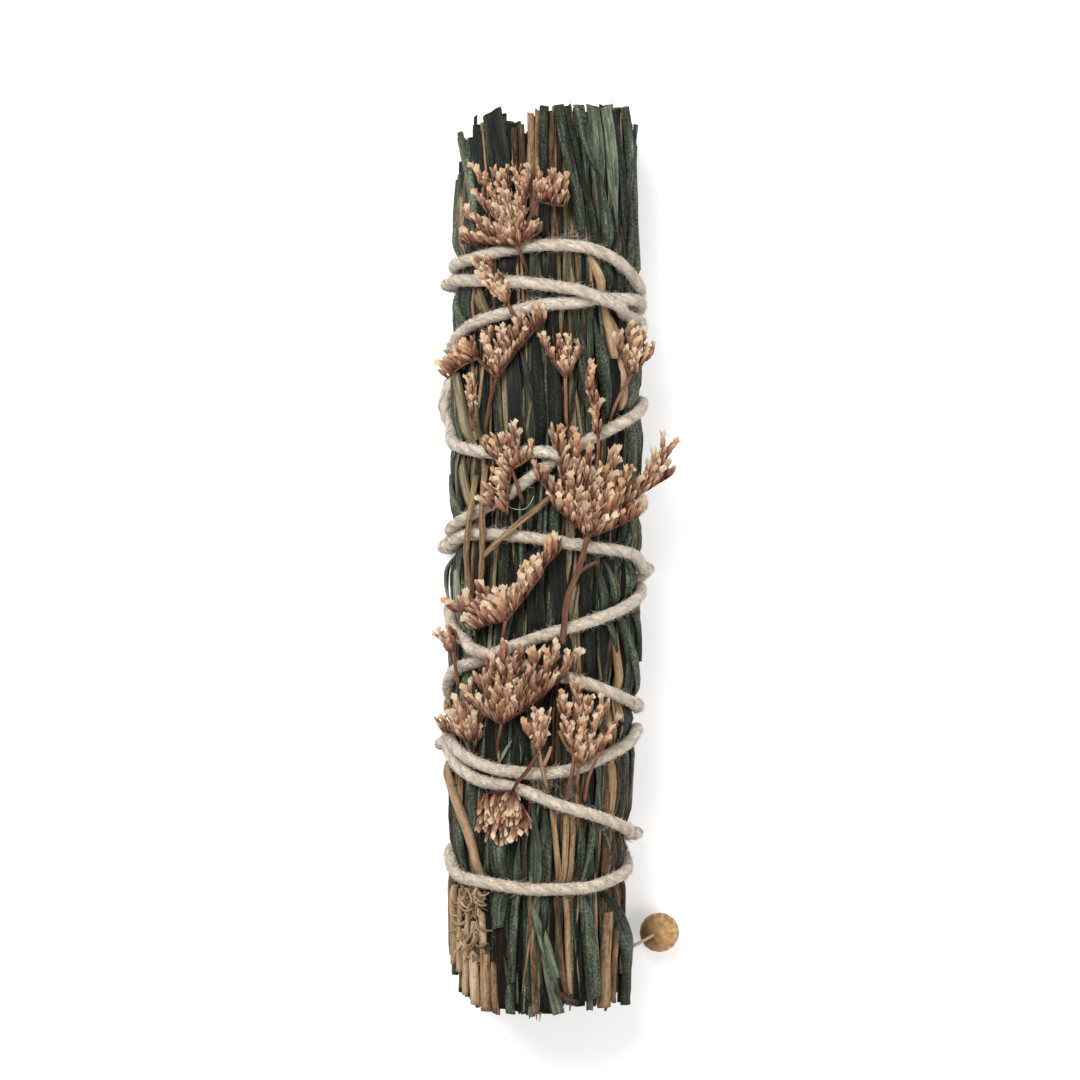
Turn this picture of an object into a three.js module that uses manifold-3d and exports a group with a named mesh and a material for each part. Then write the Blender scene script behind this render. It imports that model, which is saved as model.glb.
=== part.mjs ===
// Dried lemongrass smudge stick: a lying bundle of leaf blades and stalks, wound with cotton twine,
// with dried flower sprigs and one seed pod tucked under the windings.
// Millimetres. +Y runs along the bundle towards its leafy top end, +Z is up, z = 0 is the table.
// The origin is on the flattened underside of the twine, under the middle of the bundle.
import * as THREE from "three";
import { mergeVertices } from "three/addons/utils/BufferGeometryUtils.js";
import Module from "manifold-3d";

const wasm = await Module();
wasm.setup();

// Driving dimensions of the bundle
const topEnd = 90; // where the longest blades end, towards +Y
const bottomEnd = -90; // where the longest stalks end, towards -Y
const halfWidth = 18.4; // of the packed leaves, at the widest
const halfHeight = 16.2; // from the widest level up to the crest
const halfDepth = 14.8; // from the widest level down to the flattened underside
const gap = 0.3; // air between neighbouring solids

// Driving dimensions of the twine
const twineRadius = 1.2; // half the thickness of the cotton twine, flat to flat
const twineSides = 6;
const twineClearance = 0.55; // air between the leaves and the inside of the twine
const crossingLift = 2 * twineRadius + 0.25; // how far a turn rises to pass over another
const liftRamp = 15; // degrees of travel that a rise takes
const leafFloor = 2 * twineRadius + twineClearance; // height of the lowest leaves over the table

// Packing of the strands inside the bundle
const outerCount = 24;
const middleCount = 12;
const coreCount = 4;
const outerRing = [0.7, 1];
const middleRing = [0.37, 0.68];
const coreRing = [0.03, 0.35];
const bundleTwist = -0.11; // radians that a strand turns round the bundle from bottom to top

const green = (shade) => new THREE.MeshStandardMaterial({ color: shade, roughness: 0.78, metalness: 0 });
const leafColours = [0x33473a, 0x2a3a33, 0x40573f, 0x263230, 0x4d5c42];
const stalkMaterial = new THREE.MeshStandardMaterial({ color: 0xa98a66, roughness: 0.85, metalness: 0 });
const floretMaterial = new THREE.MeshStandardMaterial({ color: 0xa3775c, roughness: 0.9, metalness: 0 });
const twineMaterial = new THREE.MeshStandardMaterial({ color: 0xdccdb6, roughness: 0.95, metalness: 0 });
const podMaterial = new THREE.MeshStandardMaterial({ color: 0xb3914f, roughness: 0.7, metalness: 0 });

// How thick the bundle is at y, as a share of its half sizes: it thins towards both ends
function girth(y) {
  const toTop = THREE.MathUtils.smoothstep(y, 30, topEnd);
  const toBottom = THREE.MathUtils.smoothstep(-y, 20, -bottomEnd);
  return 1.01 - 0.07 * toTop - 0.12 * toBottom;
}

// The bundle leans a little: its upper part lies up to 1.4 mm to the right
const centreX = (y) => 0.4 + Math.tanh((y + 35) / 35);
const centreZ = (y) => leafFloor + halfDepth * girth(y);

// A point of the bundle's section at y: angle 0 is the right side, a quarter turn the crest.
// share is 1 on the surface of the leaves, and lift is a height above that surface.
// The upper half is elliptical, and the lower half is squarer, with a flat where it lies.
const crestPower = 2;
const undersidePower = 3;
const bellyFill = 1.02;

function section(angle, y, share = 1, lift = 0) {
  const size = girth(y) * share;
  const c = Math.cos(angle);
  const s = Math.sin(angle);
  const power = s > 0 ? crestPower : undersidePower;
  const reach = s > 0 ? halfHeight * size : halfDepth * size * bellyFill;
  const across = Math.abs(c) / (halfWidth * size + lift);
  const high = Math.abs(s) / (reach + lift);
  const radius = Math.pow(across ** power + high ** power, -1 / power);
  const level = Math.max(radius * s, -(halfDepth * size + lift));
  return new THREE.Vector3(centreX(y) + radius * c, y, centreZ(y) + level);
}

// The height of the surface, lifted by lift, straight above a point of the plan.
// Past the shoulder it goes on downwards in a straight line.
const shoulder = 0.93; // as a share of the half width
const shoulderSlope = 0.9;

function crest(x, y, lift) {
  const reach = halfWidth * girth(y) + lift;
  const rise = halfHeight * girth(y) + lift;
  const out = Math.abs(x - centreX(y)) / reach;
  const held = Math.min(out, shoulder);
  const droop = (out - held) * reach * shoulderSlope;
  return centreZ(y) + rise * Math.sqrt(1 - held * held) - droop;
}

const onBundle = ([x, y, lift]) => new THREE.Vector3(x, y, crest(x, y, lift));

// A closed tube of any outline: a cylinder whose vertices are placed by place(v, corner, wall),
// with v from 0 to 1 along it and wall 0 at the middle of an end
function sweep(sides, steps, place) {
  const geometry = new THREE.CylinderGeometry(1, 1, 1, sides, steps);
  const at = geometry.attributes.position;
  for (let i = 0; i < at.count; i++) {
    const wall = Math.round(Math.hypot(at.getX(i), at.getZ(i)));
    const turn = Math.atan2(at.getX(i), at.getZ(i)) / (2 * Math.PI);
    const corner = (Math.round(turn * sides) + sides) % sides;
    const p = place(Math.round((at.getY(i) + 0.5) * steps) / steps, corner, wall);
    at.setXYZ(i, p.x, p.y, p.z);
  }
  return solid(geometry);
}

// The geometry as a solid with its faces pointing out
function solid(geometry) {
  geometry.deleteAttribute("normal");
  geometry.deleteAttribute("uv");
  const merged = mergeVertices(geometry, 1e-4);
  const positions = merged.attributes.position.array;
  const make = (triangles) =>
    new wasm.Manifold(new wasm.Mesh({ numProp: 3, vertProperties: positions, triVerts: triangles }));
  const triangles = new Uint32Array(merged.index.array);
  const made = make(triangles);
  return made.volume() > 0 ? made : make(triangles.reverse());
}

function mesh(name, body, material) {
  const bodies = body.decompose();
  const largest = bodies.reduce((a, b) => (b.volume() > a.volume() ? b : a));
  const data = largest.getMesh();
  const geometry = new THREE.BufferGeometry();
  geometry.setAttribute("position", new THREE.BufferAttribute(new Float32Array(data.vertProperties), 3));
  geometry.setIndex(new THREE.BufferAttribute(new Uint32Array(data.triVerts), 1));
  geometry.computeVertexNormals();
  const made = new THREE.Mesh(geometry, material);
  made.name = name;
  return made;
}

// A tube along a curve, with its radius changing to end times that at the far end
function tubeAlong(path, sides, radius, end, stepLength, grow) {
  const steps = Math.max(2, Math.round(path.getLength() / stepLength));
  return sweep(sides, steps, (v, k, wall) => {
    const reach = (radius * THREE.MathUtils.lerp(1, end, v) + grow) * wall;
    const ahead = path.getTangentAt(v);
    const side = new THREE.Vector3().crossVectors(ahead, new THREE.Vector3(0, 0, 1)).normalize();
    const up = new THREE.Vector3().crossVectors(side, ahead);
    const a = (k * 2 * Math.PI) / sides;
    const middle = path.getPointAt(v).addScaledVector(ahead, grow * (v * 2 - 1));
    return middle.addScaledVector(side, reach * Math.cos(a)).addScaledVector(up, reach * Math.sin(a));
  });
}

// A repeatable number from 0 to 1 for each whole number
function chance(n) {
  const s = Math.sin(n * 127.1 + 11.7) * 43758.5453;
  return s - Math.floor(s);
}

// One strand of leaves or stalks, which fills one cell of the bundle's section from end to end.
// Its outer face has ridges, one for each blade, and its ends narrow and are cut at a slant.
const endTaper = 0.86;
const endSlant = 5; // mm along the strand
const wearDepth = 0.02; // shares of the bundle's half size, as ridgeDepth is
const ridgeDepth = { many: 0.055, one: 0.02 };

function strand({ turn, width, ring, ridges, steps, from, to, seed }) {
  const outer = 2 * ridges + 1;
  const inner = ring === outerRing ? 2 : 1;
  const sides = outer + inner;
  const groove = ridges > 1 ? ridgeDepth.many : ridgeDepth.one;
  return sweep(sides, steps, (v, corner, wall) => {
    const atEnd = v === 0 || v === 1;
    const taper = atEnd ? endTaper : 1;
    const onOuter = corner < outer;
    const across = onOuter ? corner / (outer - 1) : inner === 1 ? 0.5 : 1 - (corner - outer);
    const valley = corner % 2 === 0 ? groove : 0;
    const wear = wearDepth * chance(seed * 17 + corner * 5 + Math.round(v * 40));
    const share = onOuter ? ring[1] - valley - wear : ring[0];
    const slant = atEnd ? (chance(seed + corner * 3.3) - 0.5) * endSlant : 0;
    const y = THREE.MathUtils.lerp(from, to, v) + (wall ? slant : 0);
    const middle = (ring[0] + ring[1]) / 2;
    const spot = wall ? share : middle;
    const radius = halfWidth * Math.max(spot, 0.1);
    const halfAngle = (width / 2 - gap / 2 / radius) * taper;
    const angle = turn + bundleTwist * (y / topEnd) + (wall ? (across * 2 - 1) * halfAngle : 0);
    const depth = wall ? middle + (share - middle) * (0.5 + taper / 2) : middle;
    return section(angle, y, depth);
  });
}

// The twine's route: how far it has turned round the bundle, in degrees from the left side over the
// crest, and its y there. It winds down to the bottom, then back up over its own turns.
const route = [
  [-130, 56.8], [-100, 55.6], [-60, 54.6], [-40, 55], [-15, 55.6],
  [0, 55.8], [50, 55.4], [80, 54.8], [105, 53.6], [125, 51.2], [150, 48.4], [180, 47],
  [225, 43.6], [270, 43], [300, 42], [315, 40], [345, 26.4],
  [360, 24.4], [395, 22], [420, 21.2], [450, 21.4], [465, 18.8], [495, 15.2], [540, 11.4],
  [585, 10], [630, 9.6], [662, 8.6], [697, 2.4],
  [720, 2.4], [740, 4], [760, 5.2], [785, 5], [810, 4], [840, 2.6], [870, 1.4], [900, -1.2],
  [928, -2], [955, -8], [990, -8.4], [1035, -8.8],
  [1080, -10.2], [1100, -14], [1125, -17.2], [1140, -18.8], [1170, -22.2], [1190, -23.6], [1215, -26.2],
  [1240, -28.4], [1260, -29.4],
  [1305, -28.4], [1350, -28], [1380, -28.4], [1390, -29.5], [1410, -37],
  [1440, -37.2], [1470, -41.4], [1490, -43.8], [1515, -45.2], [1540, -48.2], [1565, -50.4], [1590, -52.6],
  [1620, -54.4], [1640, -54.8], [1680, -56.4], [1710, -57], [1755, -57.6],
  [1800, -59.2], [1825, -62.8], [1850, -63.8], [1890, -65.2], [1920, -65], [1945, -63.6], [1965, -62.4],
  [1980, -61.4], [2000, -60.4], [2040, -48], [2070, -46.4], [2095, -45.6], [2110, -43], [2130, -34.4],
  [2160, -34.2], [2185, -37.6], [2205, -40], [2225, -41.6], [2250, -42.2], [2270, -41.4], [2295, -38.6],
  [2320, -36], [2340, -33.8],
  [2385, -34.8], [2430, -35.2], [2455, -35.2], [2470, -34.4], [2490, -28.2],
  [2520, -25], [2545, -21.6], [2565, -20], [2580, -18.2], [2610, -14.8], [2640, -12], [2670, -9],
  [2700, -6.2], [2728, -5.4], [2755, 0], [2790, 0], [2822, 0], [2856, 6],
  [2880, 5.8], [2905, 7.6], [2925, 9.8], [2945, 13], [2970, 18.6], [2990, 22.6], [3015, 26.4], [3040, 29.2],
  [3060, 31.2], [3105, 32], [3150, 32.8], [3180, 33.2], [3195, 35], [3225, 41.2],
  [3240, 42], [3260, 44.4], [3280, 47], [3305, 49], [3330, 50.6], [3350, 51], [3365, 51.8], [3390, 51.8],
  [3420, 51.4], [3465, 48.8], [3510, 48.4], [3535, 48.8], [3548, 50.4], [3568, 58.2], [3585, 58.6],
  [3600, 58.8], [3620, 59.2], [3640, 60], [3665, 61.6], [3690, 62.4], [3710, 62.2], [3730, 60.6],
  [3750, 57.6], [3765, 55.2], [3785, 53.6], [3830, 53.6],
];

// Where the twine rises over an earlier or later turn of itself
const crossings = [
  [-51, -29], [109, 131], [309, 331], [449, 471], [669, 691], [929, 951], [1129, 1151], [1389, 1411],
  [1649, 1671],
];

// A smooth line through the route's points, which never overshoots them
function routeY(turned) {
  const last = route.length - 1;
  let i = 0;
  while (i < last - 1 && route[i + 1][0] < turned) i++;
  const slope = (k) => {
    if (k <= 0 || k >= last) return 0;
    const before = (route[k][1] - route[k - 1][1]) / (route[k][0] - route[k - 1][0]);
    const after = (route[k + 1][1] - route[k][1]) / (route[k + 1][0] - route[k][0]);
    return before * after <= 0 ? 0 : (2 * before * after) / (before + after);
  };
  const span = route[i + 1][0] - route[i][0];
  const t = THREE.MathUtils.clamp((turned - route[i][0]) / span, 0, 1);
  const [y0, y1, m0, m1] = [route[i][1], route[i + 1][1], slope(i) * span, slope(i + 1) * span];
  const t2 = t * t;
  const t3 = t2 * t;
  return y0 * (2 * t3 - 3 * t2 + 1) + m0 * (t3 - 2 * t2 + t) + y1 * (3 * t2 - 2 * t3) + m1 * (t3 - t2);
}

function routeLift(turned) {
  let lift = 0;
  for (const [from, to] of crossings) {
    const up = THREE.MathUtils.smoothstep(turned, from - liftRamp, from);
    const down = 1 - THREE.MathUtils.smoothstep(turned, to, to + liftRamp);
    lift = Math.max(lift, crossingLift * Math.min(up, down));
  }
  return lift;
}

// The middle line of the twine, and the direction that faces away from the bundle there
function twinePoint(turned) {
  const angle = Math.PI - THREE.MathUtils.degToRad(turned);
  const middle = section(angle, routeY(turned), 1, twineClearance + twineRadius + routeLift(turned));
  return middle.setZ(Math.max(middle.z, twineRadius));
}

function twineOutward(turned) {
  const step = 1;
  const along = twinePoint(turned + step).sub(twinePoint(turned - step));
  return new THREE.Vector3(-along.z, 0, along.x).normalize();
}

const turnStep = 20;

function twineTube(grow) {
  const [start, end] = [route[0][0], route[route.length - 1][0]];
  const steps = Math.round((end - start) / turnStep);
  const corner = (twineRadius + grow) / Math.cos(Math.PI / twineSides);
  return sweep(twineSides, steps, (v, k, wall) => {
    const turned = start + (end - start) * v;
    const middle = twinePoint(turned);
    const ahead = twinePoint(turned + 2).sub(twinePoint(turned - 2)).normalize();
    const out = twineOutward(turned);
    const side = new THREE.Vector3().crossVectors(ahead, out).normalize();
    const a = ((k + 0.5) * 2 * Math.PI) / twineSides;
    middle.addScaledVector(out, wall * corner * Math.cos(a));
    return middle.addScaledVector(side, wall * corner * Math.sin(a));
  });
}

// The knot that ties the twine's two ends together, low on the right flank, and its two cut tails
const knotTurn = route[0][0];
const knotSize = [2.3, 2.9, 2]; // half sizes across, along and out of the bundle
const tails = [
  [[-130, 55.2], [-141, 59], [-150, 62.6]],
  [[-130, 55.2], [-119, 52], [-112, 49]],
];

function twineKnot(grow) {
  const middle = twinePoint(knotTurn);
  const lump = new THREE.IcosahedronGeometry(1, 1);
  lump.scale(...knotSize.map((size) => size + grow));
  lump.rotateY(Math.atan2(twineOutward(knotTurn).x, twineOutward(knotTurn).z));
  lump.translate(middle.x, middle.y, middle.z);
  const beside = ([turned, y]) =>
    section(Math.PI - THREE.MathUtils.degToRad(turned), y, 1, twineClearance + twineRadius);
  const tail = (line) => {
    const path = new THREE.CatmullRomCurve3(line.map(beside));
    return tubeAlong(path, 5, twineRadius * 0.9, 0.9, 3, grow);
  };
  return tails.map(tail).reduce((all, part) => all.add(part), solid(lump));
}

// A thin stem through points [x, y, height above the leaves]
function stemTube(points, radius, grow) {
  const path = new THREE.CatmullRomCurve3(points.map(onBundle), false, "centripetal");
  return tubeAlong(path, 4, radius, 0.8, 6, grow);
}

// A spike of close-set florets: a flattened lobed form from the fork to the tip
const spikeProfile = [0.3, 1, 0.35];
const spikeHalfWidth = 1.3;
const spikeHalfThickness = 1.15;
const spikeSides = 3;

function spike(from, tip, grow) {
  const [start, end] = [onBundle(from), onBundle(tip)];
  const ahead = end.clone().sub(start).normalize();
  const away = new THREE.Vector3((start.x + end.x) / 2 - centreX(from[1]), 0, halfHeight);
  const side = new THREE.Vector3().crossVectors(ahead, away).normalize();
  const up = new THREE.Vector3().crossVectors(side, ahead);
  const steps = spikeProfile.length - 1;
  return sweep(spikeSides, steps, (v, k, wall) => {
    const lobe = spikeProfile[Math.round(v * steps)];
    const a = (k * 2 * Math.PI) / spikeSides;
    const across = wall * (spikeHalfWidth * lobe + grow) * Math.cos(a);
    const high = wall * (spikeHalfThickness * lobe + grow) * Math.sin(a);
    const middle = start.clone().lerp(end, v).addScaledVector(ahead, grow * (v * 2 - 1));
    return middle.addScaledVector(side, across).addScaledVector(up, high);
  });
}

// The flower sprigs. Each has a stem from its tucked end to its fork, as [x, y, height above the leaves],
// and the tips [x, y] of its spikes, which rise by tipRise. More spikes may branch off at a second fork.
const stemRadius = 0.5;
const tucked = -0.55; // height of a stem where the twine pins it among the leaves
const over = 4.3; // height of a stem or fork that clears the twine
const tipRise = 0.5; // how much higher a spike's tip is than its fork
const sprigs = [
  {
    name: "flower_sprig_top",
    stem: [[-2.4, 50.8, tucked], [-2.6, 57, tucked], [-3.4, 59.4, 3.4], [-4.4, 62, over]],
    tips: [
      [-12.8, 78.4], [-9.6, 78], [-7, 79], [-4.6, 79.2], [-2, 78.8], [-16.4, 65], [-15.6, 69.8],
      [-12.6, 73.6], [0.2, 67.4],
    ],
    second: [-0.6, 71, over],
    secondTips: [[-0.4, 77.6], [2.6, 77.6], [4.8, 75.6], [5.8, 72.4]],
  },
  {
    name: "flower_sprig_upper_left",
    stem: [[-6.2, 50.4, over], [-6.8, 53, over], [-7.4, 54.6, over]],
    tips: [[-12.6, 60.2], [-9.6, 60.4]],
  },
  {
    name: "flower_sprig_left_comb",
    stem: [[-10.2, 18.6, tucked], [-10.4, 24.4, tucked], [-10.6, 27, 1], [-9.8, 32, 1.2], [-8.6, 36, 2.6]],
    tips: [[-10.6, 45.4], [-7, 46.6], [-4, 48.4], [1, 50.4]],
    second: [-12.4, 40, 2.6],
    secondTips: [[-20, 38.4], [-18, 42], [-14.6, 44]],
  },
  {
    name: "flower_sprig_centre",
    stem: [[5.2, 15.4, tucked], [5.4, 25.4, tucked], [5.2, 28, 1], [5, 36, 1.8]],
    tips: [[0.4, 45], [3, 44.6], [6, 45], [8.6, 43.4]],
  },
  {
    name: "flower_sprig_right",
    stem: [[11.8, 20.6, tucked], [13.4, 26.6, tucked], [15, 31, 1], [18, 36.6, 2]],
    tips: [[15.8, 45], [18.2, 47.6], [20.8, 46.4], [22.6, 43.4]],
  },
  {
    name: "flower_sprig_slender",
    stem: [[11.2, 17.8, over], [11.4, 21, over], [11.6, 24, over]],
    tips: [[9.6, 38.8]],
  },
  {
    name: "flower_sprig_great_fan",
    stem: [
      [4.5, -16.6, 3.8], [5.4, -12.4, 3.8], [6.6, -7.6, 2.6], [8.2, -2, over], [9, 2, over], [9.2, 5.4, over],
    ],
    tips: [
      [-0.8, 19.6], [3.2, 26.6], [7, 26.4], [13.4, 19.4], [18.6, 19.6], [26.4, 24.6], [26.2, 19.4],
      [21, 12], [3, 13.4],
    ],
    rise: 3.2,
  },
  {
    name: "flower_sprig_curled",
    stem: [[-3.4, 11.2, 2], [-4.4, 14.6, over], [-5.6, 18, over]],
    tips: [[-11.6, 24], [-8.6, 25.4], [-5.4, 27.4], [-1.8, 23], [-11.4, 12.4], [-8, 11.4]],
  },
  {
    name: "flower_sprig_waist",
    stem: [[-7.6, -23.6, tucked], [-7.4, -18, tucked], [-7.2, -14.6, 3.4], [-6.8, -12, over]],
    tips: [[3, 4.6], [0.2, 0.6], [-18.6, -7.2], [-12.4, -4.4], [-8.4, -4.6], [-15, -11]],
  },
  {
    name: "flower_sprig_heart",
    stem: [[-8.8, -44.4, tucked], [-8.4, -38, tucked], [-8.2, -35.6, 2.6], [-7.6, -32.4, over]],
    tips: [
      [-10, -18.4], [-7, -15], [-3.6, -15.4], [0, -16.6], [3.8, -16.2], [8.2, -16.6], [-14.8, -24.8],
      [-12.4, -21.4],
    ],
    rise: 2.6,
  },
  {
    name: "flower_sprig_lower_left",
    stem: [[-13.4, -44.6, tucked], [-13, -38, tucked], [-12.8, -36.2, 1.8]],
    tips: [[-20, -31.2], [-18.8, -28], [-16, -27], [-12.4, -28]],
  },
  {
    name: "flower_sprig_pale",
    stem: [[0.8, -46.6, tucked], [0.4, -40.4, tucked], [0.2, -37.6, 1.6]],
    tips: [[-3, -31.4], [-1, -28.4], [1.4, -29]],
  },
  {
    name: "flower_sprig_lower_right",
    stem: [[7.2, -53.6, tucked], [7.3, -47.2, tucked], [7.4, -44, 3.4], [7.6, -41, over]],
    tips: [[4, -25.4], [7, -23.6], [10, -25.6], [13, -27], [15.6, -31]],
  },
  {
    name: "flower_sprig_hanging",
    stem: [[-4.2, -38.6, tucked], [-5, -47, tucked], [-5.6, -49, 1.4]],
    tips: [[-12, -50.4], [-10.8, -55], [-7.6, -57], [-4.2, -56.6], [-1.6, -54.4]],
  },
  {
    name: "flower_sprig_side",
    stem: [[-16.2, -24.8, over], [-16.8, -21, over], [-17.2, -18.4, over]],
    tips: [[-20.4, -14], [-18, -12.8]],
  },
  {
    name: "flower_sprig_small",
    stem: [[-13.4, 25.8, 1], [-13.4, 28, 1.2]],
    tips: [[-13.8, 37.4]],
  },
];

function sprigParts({ stem, tips, rise = tipRise, second, secondTips = [] }, grow) {
  const fork = stem[stem.length - 1];
  const parts = [stemTube(stem, stemRadius, grow)];
  const grownFrom = (foot) => ([x, y]) => spike(foot, [x, y, foot[2] + rise], grow);
  parts.push(...tips.map(grownFrom(fork)));
  if (second) parts.push(stemTube([fork, second], stemRadius, grow), ...secondTips.map(grownFrom(second)));
  return parts.reduce((all, part) => all.add(part));
}

// Bare dry stems that lie over the twine
const bareStemRadius = 0.65;
const bareStems = [
  {
    name: "bare_stem_forked",
    lines: [
      [
        [-10.7, 18.6, 1.1], [-11.2, 13.6, 3.6], [-11.4, 8.8, 3.9], [-11.4, 2.4, 3.7], [-11.6, -2.6, 1.6],
        [-12, -9.4, 1.1], [-12, -14, tucked], [-11.8, -22, tucked],
      ],
      [[2.6, 12.8, 1.2], [-1, 9.9, 2.6], [-4.6, 7, 3.8], [-8.4, 3.6, 3.9], [-11.4, 0.6, 3]],
    ],
  },
  {
    name: "bare_stem_left",
    lines: [
      [
        [-12.6, 16.6, 1.1], [-13.4, 12, 3.6], [-14, 7.6, 3.9], [-14.6, 1.6, 3.7], [-14.2, -3.6, 1.4],
        [-13.6, -11.4, 1.1],
      ],
    ],
  },
];

const bareStem = ({ lines }, grow) =>
  lines.map((line) => stemTube(line, bareStemRadius, grow)).reduce((all, part) => all.add(part));

// The seed pod: a ribbed globe that rests on the table beside the bundle, on its own thin stalk
const podRadius = 4;
const podCentre = new THREE.Vector3(24.1, -75.2, podRadius);
const podRibs = 8;
const podStalk = [[19.4, -77.6, 13], [20.8, -76.9, 11.8], [22.8, -75.8, 9.4], [23.9, -75.3, 7.2]].map(
  (p) => new THREE.Vector3(...p),
);

const podRibDepth = 0.05; // as a share of its radius
const podStalkRadius = 0.4;

function seedPod() {
  const globe = new THREE.SphereGeometry(podRadius, podRibs * 2, 6);
  const at = globe.attributes.position;
  for (let i = 0; i < at.count; i++) {
    const around = Math.atan2(at.getX(i), at.getZ(i));
    const inValley = Math.cos(around * podRibs) < 0;
    const inset = inValley ? 1 - podRibDepth : 1;
    at.setXYZ(i, at.getX(i) * inset, at.getY(i), at.getZ(i) * inset);
  }
  globe.rotateX(Math.PI / 2);
  globe.translate(podCentre.x, podCentre.y, podCentre.z);
  const stalk = new THREE.CatmullRomCurve3(podStalk);
  return solid(globe).add(tubeAlong(stalk, 4, podStalkRadius, 0.8, 4, 0));
}

// How far short of the bundle's ends a strand may stop
const topSpread = 9;
const bottomSpread = 6;

// Which cells of the outer ring are woody stalks, counted from the right side over the crest
const stalkCells = [2, 5, 10, 13, 19];

function strands() {
  const list = [];
  const fill = (prefix, count, ring, steps, ridges) => {
    for (let i = 0; i < count; i++) {
      const seed = list.length;
      const stalk = ring === outerRing && stalkCells.includes(i);
      list.push({
        name: (stalk ? "stalk_" : prefix) + String(i + 1).padStart(2, "0"),
        turn: ((i + 0.5) * 2 * Math.PI) / count,
        width: (2 * Math.PI) / count,
        ring,
        ridges: stalk ? 2 : ridges,
        steps,
        from: bottomEnd + (stalk ? 1 : bottomSpread) * chance(seed + 3),
        to: topEnd - topSpread * chance(seed + 9),
        seed,
        material: stalk ? stalkMaterial : green(leafColours[seed % leafColours.length]),
      });
    }
  };
  fill("leaf_blades_", outerCount, outerRing, 3, 3);
  fill("inner_leaves_", middleCount, middleRing, 3, 1);
  fill("core_leaves_", coreCount, coreRing, 2, 1);
  return list;
}

const group = new THREE.Group();
const twineBody = (grow) => twineTube(grow).add(twineKnot(grow));
group.add(mesh("twine", twineBody(0), twineMaterial));

// What is taken by the twine and by each stem and sprig before, grown by the gap, is cut from the next
let taken = twineBody(gap);

const grooves = [];
for (const stem of bareStems) {
  group.add(mesh(stem.name, bareStem(stem, 0).subtract(taken), stalkMaterial));
  taken = taken.add(bareStem(stem, gap));
  grooves.push(bareStem(stem, gap));
}
for (const sprig of sprigs) {
  group.add(mesh(sprig.name, sprigParts(sprig, 0).subtract(taken), floretMaterial));
  taken = taken.add(sprigParts(sprig, gap));
  grooves.push(stemTube(sprig.stem, stemRadius, gap));
}
// The stems press grooves into the outer strands
const pressed = grooves.reduce((all, part) => all.add(part));
for (const cell of strands()) {
  const body = cell.ring === outerRing ? strand(cell).subtract(pressed) : strand(cell);
  group.add(mesh(cell.name, body, cell.material));
}
group.add(mesh("seed_pod", seedPod(), podMaterial));

export default group;
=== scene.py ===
# %% [markdown]
# # A dried herb bundle wound with cotton twine
# The object is a smudge stick: dried leaves and stalks in a tight bundle, a twine that winds down it and
# back up, and small dried flower sprigs caught under the turns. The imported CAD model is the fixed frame.
# Each of its solids gets the real thing's surface here: single leaves, spun yarn and florets, all made as
# mesh.

import math
import random

import bmesh
import bpy
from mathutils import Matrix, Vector, noise


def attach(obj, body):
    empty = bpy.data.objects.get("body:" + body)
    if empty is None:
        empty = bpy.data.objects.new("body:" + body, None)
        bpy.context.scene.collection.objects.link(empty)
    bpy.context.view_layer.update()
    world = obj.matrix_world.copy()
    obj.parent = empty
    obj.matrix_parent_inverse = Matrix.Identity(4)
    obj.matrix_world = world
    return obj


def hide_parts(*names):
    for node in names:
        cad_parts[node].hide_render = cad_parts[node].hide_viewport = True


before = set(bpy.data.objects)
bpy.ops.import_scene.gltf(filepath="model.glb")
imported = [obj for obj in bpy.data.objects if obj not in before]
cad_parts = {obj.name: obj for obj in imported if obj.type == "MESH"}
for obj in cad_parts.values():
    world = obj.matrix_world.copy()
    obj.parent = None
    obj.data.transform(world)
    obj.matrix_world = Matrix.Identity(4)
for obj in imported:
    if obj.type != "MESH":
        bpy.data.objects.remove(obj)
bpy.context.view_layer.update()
MM = 0.001
FULL_TURN = 2 * math.pi
print("CAD solids:", len(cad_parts))

# %% [markdown]
# The leaves, the twine and the sprigs all lie on one common form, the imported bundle. The real bundle is
# nearly round, thinner at its ends, and flattened where it lies. It could be drawn as a mesh to project on.
# A formula for its section is shorter, and it gives the height above the leaves at any place, which
# everything here needs. The sizes are those of the CAD model, in millimetres.

# %% The bundle's form
TOP_END = 90
BOTTOM_END = -90
HALF_WIDTH = 18.4
HALF_HEIGHT = 16.2  # from the middle line up to the crest
HALF_DEPTH = 14.8  # from the middle line down to the flat underside
TWINE_RADIUS = 1.2
TWINE_CLEARANCE = 0.55
LEAF_FLOOR = 2 * TWINE_RADIUS + TWINE_CLEARANCE
CREST_POWER = 2  # an ellipse
UNDERSIDE_POWER = 3  # fuller than an ellipse
BELLY_FILL = 1.02
SHOULDER = 0.93  # share of the half width from which the crest goes on down in a straight line
SHOULDER_SLOPE = 0.9
CORE = 0.3  # mm, the least distance from the bundle's middle line
FULL_GIRTH = 1.01
# How much thinner the ends are, and from where on
TOP_TAPER, TOP_TAPER_FROM = 0.07, 30
BOTTOM_TAPER, BOTTOM_TAPER_FROM = 0.12, 20
SIDE_SHIFT = 0.4  # mm, the bundle lies a little to the right
BEND_AT, BEND_LENGTH = -35, 35  # mm, where it bends, and over what length


def smooth(value, low, high):
    t = min(max((value - low) / (high - low), 0), 1)
    return t * t * (3 - 2 * t)


def mix(a, b, t):
    return a + (b - a) * t


def girth(y):
    """The bundle's thickness at y as a share of its middle's."""
    at_top = TOP_TAPER * smooth(y, TOP_TAPER_FROM, TOP_END)
    at_bottom = BOTTOM_TAPER * smooth(-y, BOTTOM_TAPER_FROM, -BOTTOM_END)
    return FULL_GIRTH - at_top - at_bottom


def centre_x(y):
    return SIDE_SHIFT + math.tanh((y - BEND_AT) / BEND_LENGTH)


def centre_z(y):
    return LEAF_FLOOR + HALF_DEPTH * girth(y)


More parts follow.
